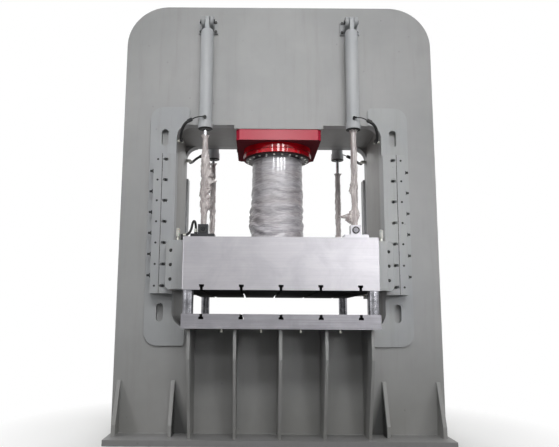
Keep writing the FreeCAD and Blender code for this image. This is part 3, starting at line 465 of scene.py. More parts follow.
def stretchFilm(name, look):
    material, tree, skin, place = newMaterial(name, {
        "IOR": 1.5, "Specular IOR Level": look["specular"]})
    stretch = addNode(tree, "ShaderNodeMapping", {
        "Vector": place, "Scale": look["creaseScale"]})
    crease = addNode(tree, "ShaderNodeTexNoise", {
        "Vector": stretch.outputs["Vector"], "Scale": 1.0, "Detail": 6.0, "Roughness": 0.62,
        "Distortion": 0.9})
    turn = addNode(tree, "ShaderNodeMapping", {"Vector": place, "Scale": look["turnScale"]})
    turns = addNode(tree, "ShaderNodeTexNoise", {
        "Vector": turn.outputs["Vector"], "Scale": 1.0, "Detail": 3.0})
    glint = addNode(tree, "ShaderNodeMapRange", {
        "Value": crease.outputs["Fac"], "From Min": look["glintEdge"][0],
        "From Max": look["glintEdge"][1]})
    tone = addNode(tree, "ShaderNodeMix", {
        0: glint.outputs["Result"], 6: linear(look["clear"]), 7: linear(look["milky"])},
        data_type="RGBA").outputs[2]
    # painted reflection: a warm tone laid on in bands across the turns, standing for the red
    # flange reflected in the film
    warmReflection = addNode(tree, "ShaderNodeMapRange", {
        "Value": turns.outputs["Fac"], "From Min": look["warmReflectionEdge"][0],
        "From Max": look["warmReflectionEdge"][1], "To Max": look["warmReflectionTone"]})
    tone = addNode(tree, "ShaderNodeMix", {
        0: warmReflection.outputs["Result"], 6: tone, 7: linear(look["shade"])},
        data_type="RGBA").outputs[2]
    tree.links.new(tone, skin.inputs["Base Color"])
    cover = addNode(tree, "ShaderNodeMapRange", {
        "Value": crease.outputs["Fac"], "From Min": look["coverEdge"][0],
        "From Max": look["coverEdge"][1], "To Min": look["cover"][0],
        "To Max": look["cover"][1]})
    # fewer turns are wound on towards the top
    parts = addNode(tree, "ShaderNodeSeparateXYZ", {"Vector": place})
    thin = addNode(tree, "ShaderNodeMapRange", {
        "Value": parts.outputs["Z"], "From Min": look["thinFrom"], "From Max": look["thinTo"],
        "To Min": 1.0, "To Max": 1.0 - look["thinning"]})
    wound = addNode(tree, "ShaderNodeMath", {
        0: cover.outputs["Result"], 1: thin.outputs["Result"]}, operation="MULTIPLY")
    tree.links.new(wound.outputs["Value"], skin.inputs["Alpha"])
    rough = addNode(tree, "ShaderNodeMapRange", {
        "Value": turns.outputs["Fac"], "To Min": look["gloss"][0], "To Max": look["gloss"][1]})
    tree.links.new(rough.outputs["Result"], skin.inputs["Roughness"])
    bump = addNode(tree, "ShaderNodeBump", {
        "Height": crease.outputs["Fac"], "Strength": look["relief"],
        "Distance": look["reliefMm"] / 1000})
    tree.links.new(bump.outputs["Normal"], skin.inputs["Normal"])
    return material


ramWrap = stretchFilm("stretchFilmRam", ramFilmLook)
# on the thin rods the creases stand upright, and the film is baggier and milkier
rodWrap = stretchFilm("stretchFilmRods", dict(
    ramFilmLook, creaseScale=(30.0, 30.0, 5.0), turnScale=(9.0, 9.0, 3.0), thinning=0.0,
    clear="#bdb3b1", milky="#eae4e2", cover=(0.66, 0.93), specular=0.5, gloss=(0.18, 0.34),
    relief=0.55, reliefMm=2))


# injection-moulded nylon, gone slightly yellow with oil: smooth, with a soft depth
nylonLook = {"colour": "#c9c9c4", "shade": "#b4b4ad", "cloudMm": 40, "gloss": (0.3, 0.5)}


def mouldedNylon(name, look):
    material, tree, skin, place = newMaterial(name, {
        "IOR": 1.53, "Subsurface Weight": 0.1, "Subsurface Scale": 0.01})
    cloud = addNode(tree, "ShaderNodeTexNoise", {
        "Vector": place, "Scale": 1000 / look["cloudMm"], "Detail": 3.0})
    tone = addNode(tree, "ShaderNodeMix", {
        0: cloud.outputs["Fac"], 6: linear(look["colour"]), 7: linear(look["shade"])},
        data_type="RGBA").outputs[2]
    tree.links.new(tone, skin.inputs["Base Color"])
    rough = addNode(tree, "ShaderNodeMapRange", {
        "Value": cloud.outputs["Fac"], "To Min": look["gloss"][0], "To Max": look["gloss"][1]})
    tree.links.new(rough.outputs["Result"], skin.inputs["Roughness"])
    return material


nylon = mouldedNylon("mouldedNylon", nylonLook)
print("materials made")

finishes = {
    paintGrey: ["front_frame_plate", "rear_frame_plate", "side_plates", "crown_cover",
                "cylinder_seat", "bolster_ribs", "base_gussets"],
    paintBase: ["base_plate"],
    paintInner: ["window_walls", "crown_floor_plate", "bed_plate"],
    paintGuide: ["doubler_front_left", "doubler_front_right", "doubler_rear_left",
                 "doubler_rear_right", "return_brackets", "guide_bar_front_left",
                 "guide_bar_front_right", "guide_bar_rear_left", "guide_bar_rear_right",
                 "backing_bars", "guide_shoe_front_left", "guide_shoe_front_right",
                 "guide_shoe_rear_left", "guide_shoe_rear_right"],
    paintBarrel: ["return_heads", "return_barrel_front_left", "return_barrel_front_right",
                  "return_barrel_rear_left", "return_barrel_rear_right"],
    paintRed: ["main_cylinder"],
    paintGland: ["gland_flange"],
    steelSlab: ["slider_block"],
    steelBolster: ["bolster_top", "bolster_lower"],
    steelBlock: ["rod_blocks", "rod_feet"],
    turnedSteel: ["stop_columns"],
    boltSteel: ["guide_bolts", "bracket_bolts", "guide_dowels", "guide_adjusters",
                "hose_elbows"],
    chrome: ["ram", "return_rods"],
    oilySteel: ["packing_ring"],
    blackSteel: ["return_pins", "return_pipes", "slider_hose_fittings", "shoe_bolts",
                 "ram_clamp"],
    zincSteel: ["packing_screws", "hose_unions"],
    dullZinc: ["bolster_screws"],
    bronze: ["guide_liners"],
    rubber: ["return_hoses", "slider_hose"],
    nylon: ["oilers"],
}
for finish, names in finishes.items():
    for name in names:
        for place in nodes[name].material_slots:
            place.material = finish
print("finishes given")

# how film behaves wherever it is wound: small folds between large ones, turns and creases that lie
# tight, loose bags that crinkle, and a free edge that curls off at its end
filmHabit = {"smallFold": 0.6, "waverRate": 2.5, "turnSkew": 0.2, "turnTight": 0.35,
             "turnNoise": (0.9, 2.0, 5), "creaseTight": 0.3, "creaseWidth": 0.35,
             "flareLobes": 7, "flareUneven": 0.8, "bagCrinkle": 3, "bagRate": 26,
             "bagFull": 0.8, "bagNoise": (0.8, 2.0, 4), "lapCurl": 6}


def lift(z):
    return Vector((0, 0, z))


def filmSleeve(name, look, material, nodeName):
    # stretch film wound round a bar, in folds that grow looser downwards, with its free edge
    # left lapped over
    rings, sides, seed = look["rings"], look["sides"], look["seed"]
    low, high = look["low"], look["high"]
    habit = filmHabit
    mesh = bmesh.new()
    loops = []
    for i in range(rings + 1):
        share = i / rings
        z = low + (high - low) * share
        slack = math.sin(math.pi * share ** look["slackShape"])
        frill = max(0.0, 1 - (1 - share) * (high - low) / look["frill"]) ** 2
        loop = []
        for j in range(sides + look["lap"] + 1):
            angle = math.pi / 2 + 2 * math.pi * j / sides
            side = Vector((math.cos(angle), math.sin(angle), 0))
            skew = lift(look["slant"] * math.sin(angle + seed))
            spot = side * look["wrap"] + lift(seed)
            waver = noise.noise(spot + lift(z * habit["waverRate"]))
            fold = share * look["folds"] + look["waver"] * waver
            size = look["swell"] * (1.0 if int(max(0, fold)) % 2 else habit["smallFold"])
            puff = size * slack * math.sin(math.pi * (fold % 1)) ** 2
            turn = (spot + skew * habit["turnSkew"]) + lift(z * look["turnRate"])
            turns = (noise.fractal(turn, *habit["turnNoise"]) * look["turnDepth"]
                     * (habit["turnTight"] + slack))
            line = side * look["creaseWrap"] + skew + lift(z * look["creaseRate"])
            crease = min(habit["creaseWidth"], abs(noise.noise(line)))
            pucker = ((habit["creaseWidth"] - crease) * look["creaseDepth"]
                      * (habit["creaseTight"] + slack))
            pleat = (math.sin(look["pleats"] * angle + z * look["twist"])
                     * look["pleatDepth"])
            lobes = math.sin(habit["flareLobes"] * angle + seed)
            flare = frill * look["flare"] * (1.0 + lobes * habit["flareUneven"])
            bag = 0.0
            for height, spread, towards, reach in look["bags"]:
                near = math.exp(-((z - height) / spread) ** 2)
                faced = max(0.0, math.cos(angle - towards)) ** 3
                rough = spot * habit["bagCrinkle"] + lift(z * habit["bagRate"])
                crinkle = noise.fractal(rough, *habit["bagNoise"])
                full = habit["bagFull"] + look["bagFolds"] * crinkle
                bag += reach * near * faced * full
            lapped = look["lapStep"] * (j / sides) ** habit["lapCurl"]
            out = max(0.0, puff + turns + pucker + pleat + flare + bag) + lapped
            rim = Vector(look["axis"]) + side * (look["radius"] + out) + lift(z)
            loop.append(mesh.verts.new(rim))
        loops.append(loop)
    for lower, upper in zip(loops, loops[1:]):
        for j in range(sides + look["lap"]):
            mesh.faces.new((lower[j], lower[j + 1], upper[j + 1], upper[j]))
    data = bpy.data.meshes.new(name)
    mesh.to_mesh(data)
    mesh.free()
    data.polygons.foreach_set("use_smooth", [True] * len(data.polygons))
    sleeve = bpy.data.objects.new(name, data)
    bpy.context.scene.collection.objects.link(sleeve)
    data.materials.append(material)
    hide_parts(nodeName)
    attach(sleeve, "frame")
    return sleeve


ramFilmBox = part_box("ram_film")
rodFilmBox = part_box("rod_films")
# bags say where a film stands off: height, spread, facing and reach
ramWrapping = {
    "axis": (0.0, 0.0, 0.0), "radius": 0.3035, "girth": 2.0,
    "low": ramFilmBox[0].z, "high": ramFilmBox[1].z, "rings": 330, "sides": 250,
    "lap": 8, "lapStep": 0.003, "folds": 9, "swell": 0.018, "slackShape": 0.5,
    "waver": 1.3, "wrap": 1.3, "slant": 2.2, "turnRate": 21.0, "turnDepth": 0.0014,
    "creaseWrap": 1.7, "creaseRate": 17.0, "creaseDepth": 0.004,
    "pleats": 0, "twist": 0.0, "pleatDepth": 0.0, "frill": 0.02, "flare": 0.0,
    "bagFolds": 0.45, "bags": [(2.45, 0.15, 3.3, 0.028), (2.3, 0.08, 0.2, 0.010)],
    "seed": 4.0,
}
ramFilm = filmSleeve("ramFilm", ramWrapping, ramWrap, "ram_film")
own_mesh(ramFilm)

rodX, rodY = 0.836, 0.656
rodWrapping = {
    "radius": 0.029, "low": rodFilmBox[0].z, "rings": 300, "sides": 56,
    "lap": 4, "lapStep": 0.002, "folds": 9, "slackShape": 0.7,
    "waver": 1.4, "wrap": 0.9, "slant": 2.2, "turnRate": 9.0,
    "creaseWrap": 1.3, "creaseRate": 11.0, "creaseDepth": 0.012,
    "pleats": 4, "twist": 5.0, "pleatDepth": 0.003, "frill": 0.05, "flare": 0.014,
    "bagFolds": 0.9,
}
# how each film is wound: its girth laid flat, where it ends above the usual height, how loose it
# is, and its bags
rodFilms = {
    "FrontLeft": {"girth": 0.36, "raised": 0.0, "swell": 0.012, "turnDepth": 0.010,
                  "bags": [(2.80, 0.20, 0.0, 0.060), (2.52, 0.08, 0.3, 0.022),
                           (2.62, 0.10, 2.6, 0.012)]},
    "FrontRight": {"girth": 0.31, "raised": 0.07, "swell": 0.003, "turnDepth": 0.004,
                   "bags": [(2.39, 0.05, 3.0, 0.140), (2.42, 0.05, 0.2, 0.024),
                            (2.70, 0.06, 3.1, 0.022)]},
    "RearLeft": {"girth": 0.26, "raised": 0.02, "swell": 0.006, "turnDepth": 0.006,
                 "bags": [(2.5, 0.12, 1.6, 0.014)]},
    "RearRight": {"girth": 0.26, "raised": -0.11, "swell": 0.004, "turnDepth": 0.005,
                  "bags": [(2.3, 0.1, 2.5, 0.02)]},
}
for sideName, sx in (("Left", -1), ("Right", 1)):
    for endName, sy in (("Front", -1), ("Rear", 1)):
        winding = rodFilms[endName + sideName]
        top = rodFilmBox[1].z + winding["raised"]
        look = dict(rodWrapping, **winding, axis=(sx * rodX, sy * rodY, 0.0), high=top,
                    seed=13.0 + 3.0 * sx + 7.0 * sy)
        film = filmSleeve("rodFilm" + endName + sideName, look, rodWrap, "rod_films")
        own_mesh(film)
print("film made")

# hoses: the route of the front right one, in metres, outwards, backwards and up from its
# cylinder's head
hoseRoute = [(0.150, -0.088, 0.077), (0.200, -0.080, 0.053), (0.242, -0.052, 0.016),
             (0.268, 0.0, -0.028), (0.286, 0.066, -0.066), (0.292, 0.132, -0.084),
             (0.292, 0.186, -0.084)]
headBottom = 3.398
# the slider's hose, from its block over to its elbow, up from the slider's top
lubeRoute = [(0.080, -0.012, 0.110), (0.080, -0.012, 0.160), (0.082, -0.044, 0.204),
             (0.089, -0.088, 0.222), (0.097, -0.134, 0.210), (0.103, -0.172, 0.172),
             (0.107, -0.200, 0.128), (0.114, -0.216, 0.095), (0.134, -0.216, 0.064),
             (0.160, -0.192, 0.056), (0.187, -0.168, 0.056)]
sliderTop = 2.101


def hoseAlong(name, points, look, body, nodeName):
    line = bpy.data.curves.new(name, "CURVE")
    line.dimensions = "3D"
    spline = line.splines.new("NURBS")
    spline.points.add(len(points) - 1)
    for point, spot in zip(spline.points, points):
        point.co = (*spot, 1.0)
    spline.order_u = 3
    spline.use_endpoint_u = True
    line.resolution_u = 8
    line.bevel_depth = look["diameter"] / 2
    line.bevel_resolution = 5
    line.use_fill_caps = True
    hose = bpy.data.objects.new(name, line)
    bpy.context.scene.collection.objects.link(hose)
    line.materials.append(rubber)
    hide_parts(nodeName)
    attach(hose, body)
    return hose


def turnedPiece(name, steps, sides, smoothAngle=38):
    # a disc drawn out along Z step by step: each step is a radius and a height, in millimetres
    bpy.ops.object.select_all(action="DESELECT")
    radius, height = steps[0]
    bpy.ops.mesh.primitive_circle_add(vertices=sides, radius=radius / 1000, fill_type="NGON",
                                      location=(0, 0, 0))
    piece = bpy.context.object
    piece.name = name
    bpy.ops.object.mode_set(mode="EDIT")
    bpy.ops.mesh.select_all(action="SELECT")
    bpy.ops.transform.translate(value=(0, 0, height / 1000))
    for nextRadius, nextHeight in steps[1:]:
        bpy.ops.mesh.extrude_region_move(
            TRANSFORM_OT_translate={"value": (0, 0, (nextHeight - height) / 1000)})
        bpy.ops.transform.resize(value=(nextRadius / radius, nextRadius / radius, 1),
                                 center_override=(0, 0, nextHeight / 1000))
        radius, height = nextRadius, nextHeight
    bpy.ops.mesh.select_all(action="SELECT")
    bpy.ops.mesh.normals_make_consistent(inside=False)
    bpy.ops.object.mode_set(mode="OBJECT")
    bpy.ops.object.shade_smooth_by_angle(angle=math.radians(smoothAngle))
    return piece


def facing(place, direction):
    turned = Vector(direction).to_track_quat("Z", "Y").to_matrix().to_4x4()
    return Matrix.Translation(place) @ turned


def copiesAt(name, model, places):
    # one copy of the model at each place, with its own mesh, joined with its place in the mesh
    bpy.ops.object.select_all(action="DESELECT")
    copies = []
    for place in places:
        copy = model.copy()
        copy.data = model.data.copy()
        bpy.context.scene.collection.objects.link(copy)
        copy.matrix_world = place
        copy.select_set(True)
        copies.append(copy)
    bpy.context.view_layer.objects.active = copies[0]
    bpy.ops.object.join()
    bpy.ops.object.transform_apply(location=True, rotation=True, scale=True)
    piece = bpy.context.object
    piece.name = name
    return piece


def drilled(piece, across, top, deep):
    # a hexagon socket sunk into the piece's end, in millimetres; a hexagon measures 1.732 times
    # its corner radius across its flats
    bpy.ops.object.select_all(action="DESELECT")
    bpy.ops.mesh.primitive_cylinder_add(vertices=6, radius=across / 1732,
                                        depth=2 * deep / 1000, location=(0, 0, top / 1000))
    cutter = bpy.context.object
    bpy.context.view_layer.objects.active = piece
    cut = piece.modifiers.new("socket", "BOOLEAN")
    cut.object = cutter
    cut.operation = "DIFFERENCE"
    bpy.ops.object.modifier_apply(modifier=cut.name)
    bpy.data.objects.remove(cutter)


def coated(model, *materials):
    for material in materials:
        model.data.materials.append(material)
    return model


def seated(piece, body):
    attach(piece, body)


def seatedFerrules(name, model, points, body):
    # crimped ferrules over the two ends of a hose, in line with its first and last runs
    start, second = Vector(points[0]), Vector(points[1])
    last, before = Vector(points[-1]), Vector(points[-2])
    piece = copiesAt(name, model, [facing(start, second - start), facing(last, before - last)])
    seated(piece, body)
    return piece


hoseLook = {"diameter": 0.034, "length": 0.39, "crimp": 1.2}
lubeLook = {"diameter": 0.026, "length": 0.44, "crimp": 0.93}
crimpSteps = [(9.0, -9), (15.5, -8), (15.5, -1), (18.6, 0), (18.6, 7), (17.2, 9), (17.2, 12),
              (18.6, 14), (18.6, 21), (17.2, 23), (17.2, 26), (18.6, 28), (18.6, 37),
              (17.0, 40), (14.2, 41)]
hoseCrimpSteps = [(r * hoseLook["crimp"], z * hoseLook["crimp"]) for r, z in crimpSteps]
lubeCrimpSteps = [(r * lubeLook["crimp"], z * lubeLook["crimp"]) for r, z in crimpSteps]
crimp = coated(turnedPiece("crimpModel", hoseCrimpSteps, sides=24), boltSteel)
smallCrimp = coated(turnedPiece("smallCrimpModel", lubeCrimpSteps, sides=20), zincSteel)
for sideName, sx in (("Left", -1), ("Right", 1)):
    for endName, sy in (("Front", -1), ("Rear", 1)):
        corner = endName + sideName
        points = [(sx * (rodX + x), -sy * (-rodY + y), headBottom + z) for x, y, z in hoseRoute]
        hose = hoseAlong("returnHose" + corner, points, hoseLook, "frame", "return_hoses")
        ferrules = seatedFerrules("hoseFerrules" + corner, crimp, points, "frame")
lubePoints = [(-(rodX + x), -rodY + y, sliderTop + z) for x, y, z in lubeRoute]
sliderHose = hoseAlong("sliderHose", lubePoints, lubeLook, "slider", "slider_hose")
lubeFerrules = seatedFerrules("sliderHoseFerrules", smallCrimp, lubePoints, "slider")
for model in (crimp, smallCrimp):
    bpy.data.objects.remove(model)
print("hoses made")

# shoe bolts: cap screws with a rounded rim, a socket and a washer, sunk in the shoes' sloping
# flanks
shoeBoltLook = {"x": 1.165, "face": 0.7883, "heights": (1.686, 1.8395, 1.993),
                "across": 14, "top": 18.6, "deep": 8,
                "steps": [(19, 0), (19, 2.5), (17, 2.7), (17, 16.6), (16.3, 18), (14.8, 18.6)]}
boltModel = coated(turnedPiece("boltModel", shoeBoltLook["steps"], sides=36), boltSteel)
drilled(boltModel, shoeBoltLook["across"], shoeBoltLook["top"], shoeBoltLook["deep"])
boltPlaces = [facing((sx * shoeBoltLook["x"], sy * shoeBoltLook["face"], z), (0, sy, 0))
              for sx in (-1, 1) for sy in (-1, 1) for z in shoeBoltLook["heights"]]
shoeBolts = copiesAt("shoeBolts", boltModel, boltPlaces)
seated(shoeBolts, "slider")
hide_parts("shoe_bolts")

# oilers: a steel stem and nut under a moulded cup with a ribbed cap
oilerLook = {"x": 1.095, "y": 0.7803, "foot": 2.101, "stemTop": 42,
             "steps": [(10, 0), (10, 12), (15, 12.5), (15, 24), (11, 25), (11, 38), (17, 41),
                       (20, 46), (21, 52), (21, 98), (19, 102), (19, 105), (21.5, 107),
                       (21.5, 112), (20.5, 113), (21.5, 114), (21.5, 119), (20.5, 120),
                       (21.5, 121), (21.5, 126), (17, 131), (9, 134.5)]}
oilerModel = coated(turnedPiece("oilerModel", oilerLook["steps"], sides=28), nylon, zincSteel)
for face in oilerModel.data.polygons:
    face.material_index = 1 if face.center.z < oilerLook["stemTop"] / 1000 else 0
oilerPlaces = [
    Matrix.Translation((sx * oilerLook["x"], sy * oilerLook["y"], oilerLook["foot"]))
    for sx in (-1, 1) for sy in (-1, 1)]
oilerCups = copiesAt("oilerCups", oilerModel, oilerPlaces)
seated(oilerCups, "slider")
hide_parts("oilers")

# circlips and grease plugs on the pins of the return rods' blocks
pinLook = {"z": 2.24, "face": 0.056, "clip": 0.0275,
           "steps": [(40.5, 0), (40.5, 6.5), (39, 8), (30, 8), (29, 5.4), (27, 5.2), (26, 6.4),
                     (13, 6.6), (13, 9), (11.5, 11), (4, 11.5)]}
pinModel = coated(turnedPiece("pinModel", pinLook["steps"], sides=40), boltSteel, steelPin)
for face in pinModel.data.polygons:
    outside = math.hypot(face.center.x, face.center.y) > pinLook["clip"]
    face.material_index = 0 if outside else 1
pinPlaces = [
    facing((sx * rodX, sy * rodY + end * pinLook["face"], pinLook["z"]), (0, end, 0))
    for sx in (-1, 1) for sy in (-1, 1) for end in (-1, 1)]
pinCaps = copiesAt("pinCaps", pinModel, pinPlaces)
seated(pinCaps, "slider")

# wiper rings under the heads of the return cylinders
wiperLook = {"steps": [(24, 0), (79, 0), (81, -2), (81, -7), (78, -9), (60, -9), (58, -13),
                       (27, -13), (24, -11)]}
wiperModel = coated(turnedPiece("wiperModel", wiperLook["steps"], sides=48), rubber)
wiperPlaces = [Matrix.Translation((sx * rodX, sy * rodY, headBottom))
               for sx in (-1, 1) for sy in (-1, 1)]
wipers = copiesAt("wiperRings", wiperModel, wiperPlaces)
seated(wipers, "frame")
for model in (boltModel, oilerModel, pinModel, wiperModel):
    bpy.data.objects.remove(model)
print("small fittings made")

# weld beads: hand-laid fillets where plates meet, a little uneven along their length
beadLook = {"size": 0.0065, "grease": 0.0036, "step": 0.016, "uneven": 0.22, "swell": 1.6,
            "wander": 0.0012, "shakeRate": 70, "seed": 4}


def beadRun(line, corners, number):
    path = [Vector(corners[0])]
    for start, end in zip(corners, corners[1:]):
        run = Vector(end) - Vector(start)
        count = max(1, round(run.length / beadLook["step"]))
        path += [Vector(start) + run * (k + 1) / count for k in range(count)]
    spline = line.splines.new("POLY")
    spline.points.add(len(path) - 1)
    for point, spot in zip(spline.points, path):
        shake = noise.noise_vector(spot * beadLook["shakeRate"] + lift(number))
        point.co = (*(spot + shake * beadLook["wander"]), 1.0)
        point.radius = 1 + beadLook["uneven"] * shake.x * beadLook["swell"]


frameFace, frameHalf, baseTop = 0.503, 1.79, 0.060
ribLook = {"count": 5, "pitch": 0.464, "half": 0.015, "foot": 0.796, "top": 1.174}
gussetLook = {"xs": (1.728, 1.141), "half": 0.020, "toe": 0.690, "height": 0.610}
doublerLook = {"inner": 1.06, "outer": 1.479, "low": 0.979, "high": 3.696, "corner": 0.15,
               "turns": 8}
runs, seams = [], []
for sy in (-1, 1):
    for rib in range(ribLook["count"]):
        middle = (rib - (ribLook["count"] - 1) / 2) * ribLook["pitch"]
        for side in (-1, 1):
            x = middle + side * ribLook["half"]
            runs.append([(x, sy * frameFace, ribLook["top"]), (x, sy * frameFace, baseTop),
                         (x, sy * ribLook["foot"], baseTop)])
    for sx in (-1, 1):
        for middle in gussetLook["xs"]:
            for side in (-1, 1):
                x = sx * middle + side * gussetLook["half"]
                runs.append([(x, sy * frameFace, gussetLook["height"]),
                             (x, sy * frameFace, baseTop), (x, sy * gussetLook["toe"], baseTop)])
        turn = doublerLook["corner"]
        outline = [(doublerLook["inner"], doublerLook["high"])]
        for centreZ, begin in ((doublerLook["high"] - turn, 90), (doublerLook["low"] + turn, 0)):
            for k in range(doublerLook["turns"] + 1):
                angle = math.radians(begin - 90 * k / doublerLook["turns"])
                outline.append((doublerLook["outer"] - turn + turn * math.cos(angle),
                                centreZ + turn * math.sin(angle)))
        outline.append((doublerLook["inner"], doublerLook["low"]))
        seams.append([(sx * x, sy * frameFace, z) for x, z in outline])
    runs.append([(-frameHalf, sy * frameFace, baseTop), (frameHalf, sy * frameFace, baseTop)])
# the guide bars and the bars behind them meet in an open joint, 4 mm wide
jointHalf = 0.002
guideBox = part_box("guide_bar_front_right")
greaseX, greaseY = guideBox[1].x + jointHalf, -guideBox[0].y
greased = [[(sx * greaseX, sy * greaseY, end.z) for end in guideBox]
           for sx in (-1, 1) for sy in (-1, 1)]


def beads(name, size, groups):
    line = bpy.data.curves.new(name, "CURVE")
    line.dimensions = "3D"
    line.bevel_depth = size
    line.bevel_resolution = 1
    for index, (finish, paths) in enumerate(groups):
        line.materials.append(finish)
        for number, corners in enumerate(paths):
            beadRun(line, corners, number + 100 * index)  # no two runs waver alike
            line.splines[-1].material_index = index
    piece = bpy.data.objects.new(name, line)
    bpy.context.scene.collection.objects.link(piece)
    bpy.ops.object.select_all(action="DESELECT")
    piece.select_set(True)
    bpy.context.view_layer.objects.active = piece
    bpy.ops.object.convert(target="MESH")
    bpy.ops.object.shade_smooth()
    seated(bpy.context.object, "frame")


noise.seed_set(beadLook["seed"])  # noise_vector differs from run to run without a seed
beads("weldBeads", beadLook["size"], ((paintGrey, runs), (paintSeam, seams)))
# dark grease pressed out of the joints between the guide bars and the bars behind them
beads("jointGreaseLines", beadLook["grease"], ((jointGrease, greased),))
print("weld beads made")

# floor: matt paper that keeps the shadow and fades to white away from the press; what it throws
# back onto the press comes from a darker tone than the one that is seen
floorLook = {"size": 120.0, "tone": "#f6f6f5", "bounce": "#434342", "fadeStart": 1.7,
             "fadeEnd": 3.4, "drop": 0.001}
bpy.ops.mesh.primitive_plane_add(size=floorLook["size"], location=(0, 0, -floorLook["drop"]))
floor = bpy.context.object
floor.name = "studioFloor"
floorMaterial = bpy.data.materials.new("paperFloor")
floorMaterial.use_nodes = True
floorTree = floorMaterial.node_tree
floorTree.nodes.clear()
floorPlace = addNode(floorTree, "ShaderNodeTexCoord").outputs["Object"]
floorReach = addNode(floorTree, "ShaderNodeVectorMath", {0: floorPlace}, operation="LENGTH")
floorFade = addNode(floorTree, "ShaderNodeMapRange", {
    "Value": floorReach.outputs["Value"], "From Min": floorLook["fadeStart"],
    "From Max": floorLook["fadeEnd"]})
floorRays = addNode(floorTree, "ShaderNodeLightPath")
floorShown = addNode(floorTree, "ShaderNodeMath", {
    0: floorRays.outputs["Is Camera Ray"], 1: floorRays.outputs["Is Glossy Ray"]},
    operation="MAXIMUM")
floorSeen = addNode(floorTree, "ShaderNodeMath", {
    0: floorShown.outputs["Value"], 1: floorRays.outputs["Is Transmission Ray"]},
    operation="MAXIMUM")
floorAmount = addNode(floorTree, "ShaderNodeMath", {
    0: floorFade.outputs["Result"], 1: floorSeen.outputs["Value"]}, operation="MULTIPLY")
floorTone = addNode(floorTree, "ShaderNodeMix", {
    0: floorSeen.outputs["Value"], 6: linear(floorLook["bounce"]), 7: linear(floorLook["tone"])},
    data_type="RGBA").outputs[2]
floorPaper = addNode(floorTree, "ShaderNodeBsdfDiffuse", {"Color": floorTone})
floorWhite = addNode(floorTree, "ShaderNodeEmission", {
    "Color": (1, 1, 1, 1), "Strength": 1.0})
floorMix = addNode(floorTree, "ShaderNodeMixShader", {
    0: floorAmount.outputs["Value"], 1: floorPaper.outputs["BSDF"],
    2: floorWhite.outputs["Emission"]})
addNode(floorTree, "ShaderNodeOutputMaterial", {"Surface": floorMix.outputs["Shader"]})
floor.data.materials.append(floorMaterial)

# world: white where it is seen, and a low plain light on the press
worldLook = {"ambient": 0.17}
world = bpy.data.worlds.new("studioWorld")
bpy.context.scene.world = world
world.use_nodes = True
worldTree = world.node_tree
worldTree.nodes.clear()
worldRays = addNode(worldTree, "ShaderNodeLightPath")
worldShown = addNode(worldTree, "ShaderNodeMath", {
    0: worldRays.outputs["Is Camera Ray"], 1: worldRays.outputs["Is Glossy Ray"]},
    operation="MAXIMUM")
worldSeen = addNode(worldTree, "ShaderNodeMath", {
    0: worldShown.outputs["Value"], 1: worldRays.outputs["Is Transmission Ray"]},
    operation="MAXIMUM")
worldLight = addNode(worldTree, "ShaderNodeBackground", {
    "Color": (1, 1, 1, 1), "Strength": worldLook["ambient"]})
worldWhite = addNode(worldTree, "ShaderNodeBackground", {
    "Color": (1, 1, 1, 1), "Strength": 1.0})
worldMix = addNode(worldTree, "ShaderNodeMixShader", {
    0: worldSeen.outputs["Value"], 1: worldLight.outputs["Background"],
    2: worldWhite.outputs["Background"]})
addNode(worldTree, "ShaderNodeOutputWorld", {"Surface": worldMix.outputs["Shader"]})

# lamps: where each stands, what it looks at, its width and height in metres, its power in watts
# and, where it is narrowed, its spread in degrees
lamps = {
    "overheadBank": {"place": (0.3, -7.4, 7.6), "target": (0, -0.5, 3.3), "size": (5.0, 1.6),
                     "power": 58, "spread": 66},
    "slabBank": {"place": (3.9, -9.5, 2.9), "target": (0.8, -1.1, 1.85), "size": (2.2, 1.2),
                 "power": 2.8, "spread": 20},
    "sideBank": {"place": (5.2, -3.7, 2.4), "target": (1.2, -0.6, 0.6), "size": (1.0, 1.0)},
    "endBank": {"place": (8.5, 0.8, 4.6), "target": (1.9, 0.0, 2.2), "size": (3.0, 3.0),
                "power": 190},
    "backBank": {"place": (-0.3, 8.6, 7.2), "target": (0, 0.5, 2.7), "size": (5.0, 2.0),
                 "power": 115, "spread": 90},
}
sidePowers = {-1: 50, 1: 42}
windowLook = {"y": -15.0, "z": 7.6, "target": (0, -0.4, 3.2), "tall": 1.1, "radiance": 18.5,
              "panes": ((-4.9, 0.9), (0.5, 1.9), (4.8, 1.8), (9.2, 0.9))}


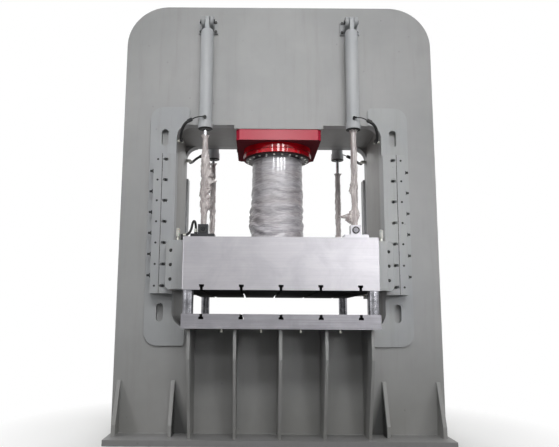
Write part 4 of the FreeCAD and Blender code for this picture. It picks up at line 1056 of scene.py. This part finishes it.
def softbox(name, look, side=1):
    # side -1 sets the lamp up at the left
    lamp = bpy.data.lights.new(name, "AREA")
    lamp.shape = "RECTANGLE"
    lamp.size, lamp.size_y = look["size"]
    lamp.energy = look["power"]
    if "spread" in look:
        lamp.spread = math.radians(look["spread"])
    box = bpy.data.objects.new(name, lamp)
    place = Vector((side * look["place"][0], *look["place"][1:]))
    target = Vector((side * look["target"][0], *look["target"][1:]))
    box.location = place
    box.rotation_euler = (target - place).to_track_quat("-Z", "Y").to_euler()
    bpy.context.scene.collection.objects.link(box)
    return box


softbox("overheadBank", lamps["overheadBank"])
softbox("slabBank", lamps["slabBank"])
for side in (-1, 1):
    softbox("sideBank", dict(lamps["sideBank"], power=sidePowers[side]), side)
    # the ends and the back of the press are lit from beside and behind, out of the front's sight
    endBank = softbox("endBank", lamps["endBank"], side)
    endBank.visible_glossy = False
softbox("backBank", lamps["backBank"])
# tall windows far in front: they draw the upright highlights on the gland, ram and cylinders
for number, (x, width) in enumerate(windowLook["panes"], 1):
    area = width * windowLook["tall"]
    softbox("window" + str(number), {
        "place": (x, windowLook["y"], windowLook["z"]), "target": windowLook["target"],
        "size": (width, windowLook["tall"]), "power": windowLook["radiance"] * math.pi * area})

camera = {"focalPx": 592.553, "pitch": 9.0986, "roll": 0.408,
          "place": (-0.2574, -7.1104, 1.2797), "middleX": 255.882, "frameWidth": 559,
          "sensor": 36.0, "sight": 200.0}
lens = bpy.data.cameras.new("photoCamera")
lens.sensor_width = camera["sensor"]
lens.lens = camera["focalPx"] / camera["frameWidth"] * lens.sensor_width
lens.shift_x = (camera["frameWidth"] / 2 - camera["middleX"]) / camera["frameWidth"]
lens.clip_end = camera["sight"]
view = bpy.data.objects.new("photoCamera", lens)
tilt = Matrix.Rotation(math.radians(90 + camera["pitch"]), 4, "X")
turn = Matrix.Rotation(math.radians(camera["roll"]), 4, "Z")
view.matrix_world = Matrix.Translation(camera["place"]) @ tilt @ turn
bpy.context.scene.collection.objects.link(view)
bpy.context.scene.camera = view
bpy.context.scene.view_settings.view_transform = "Standard"
print("stage set")
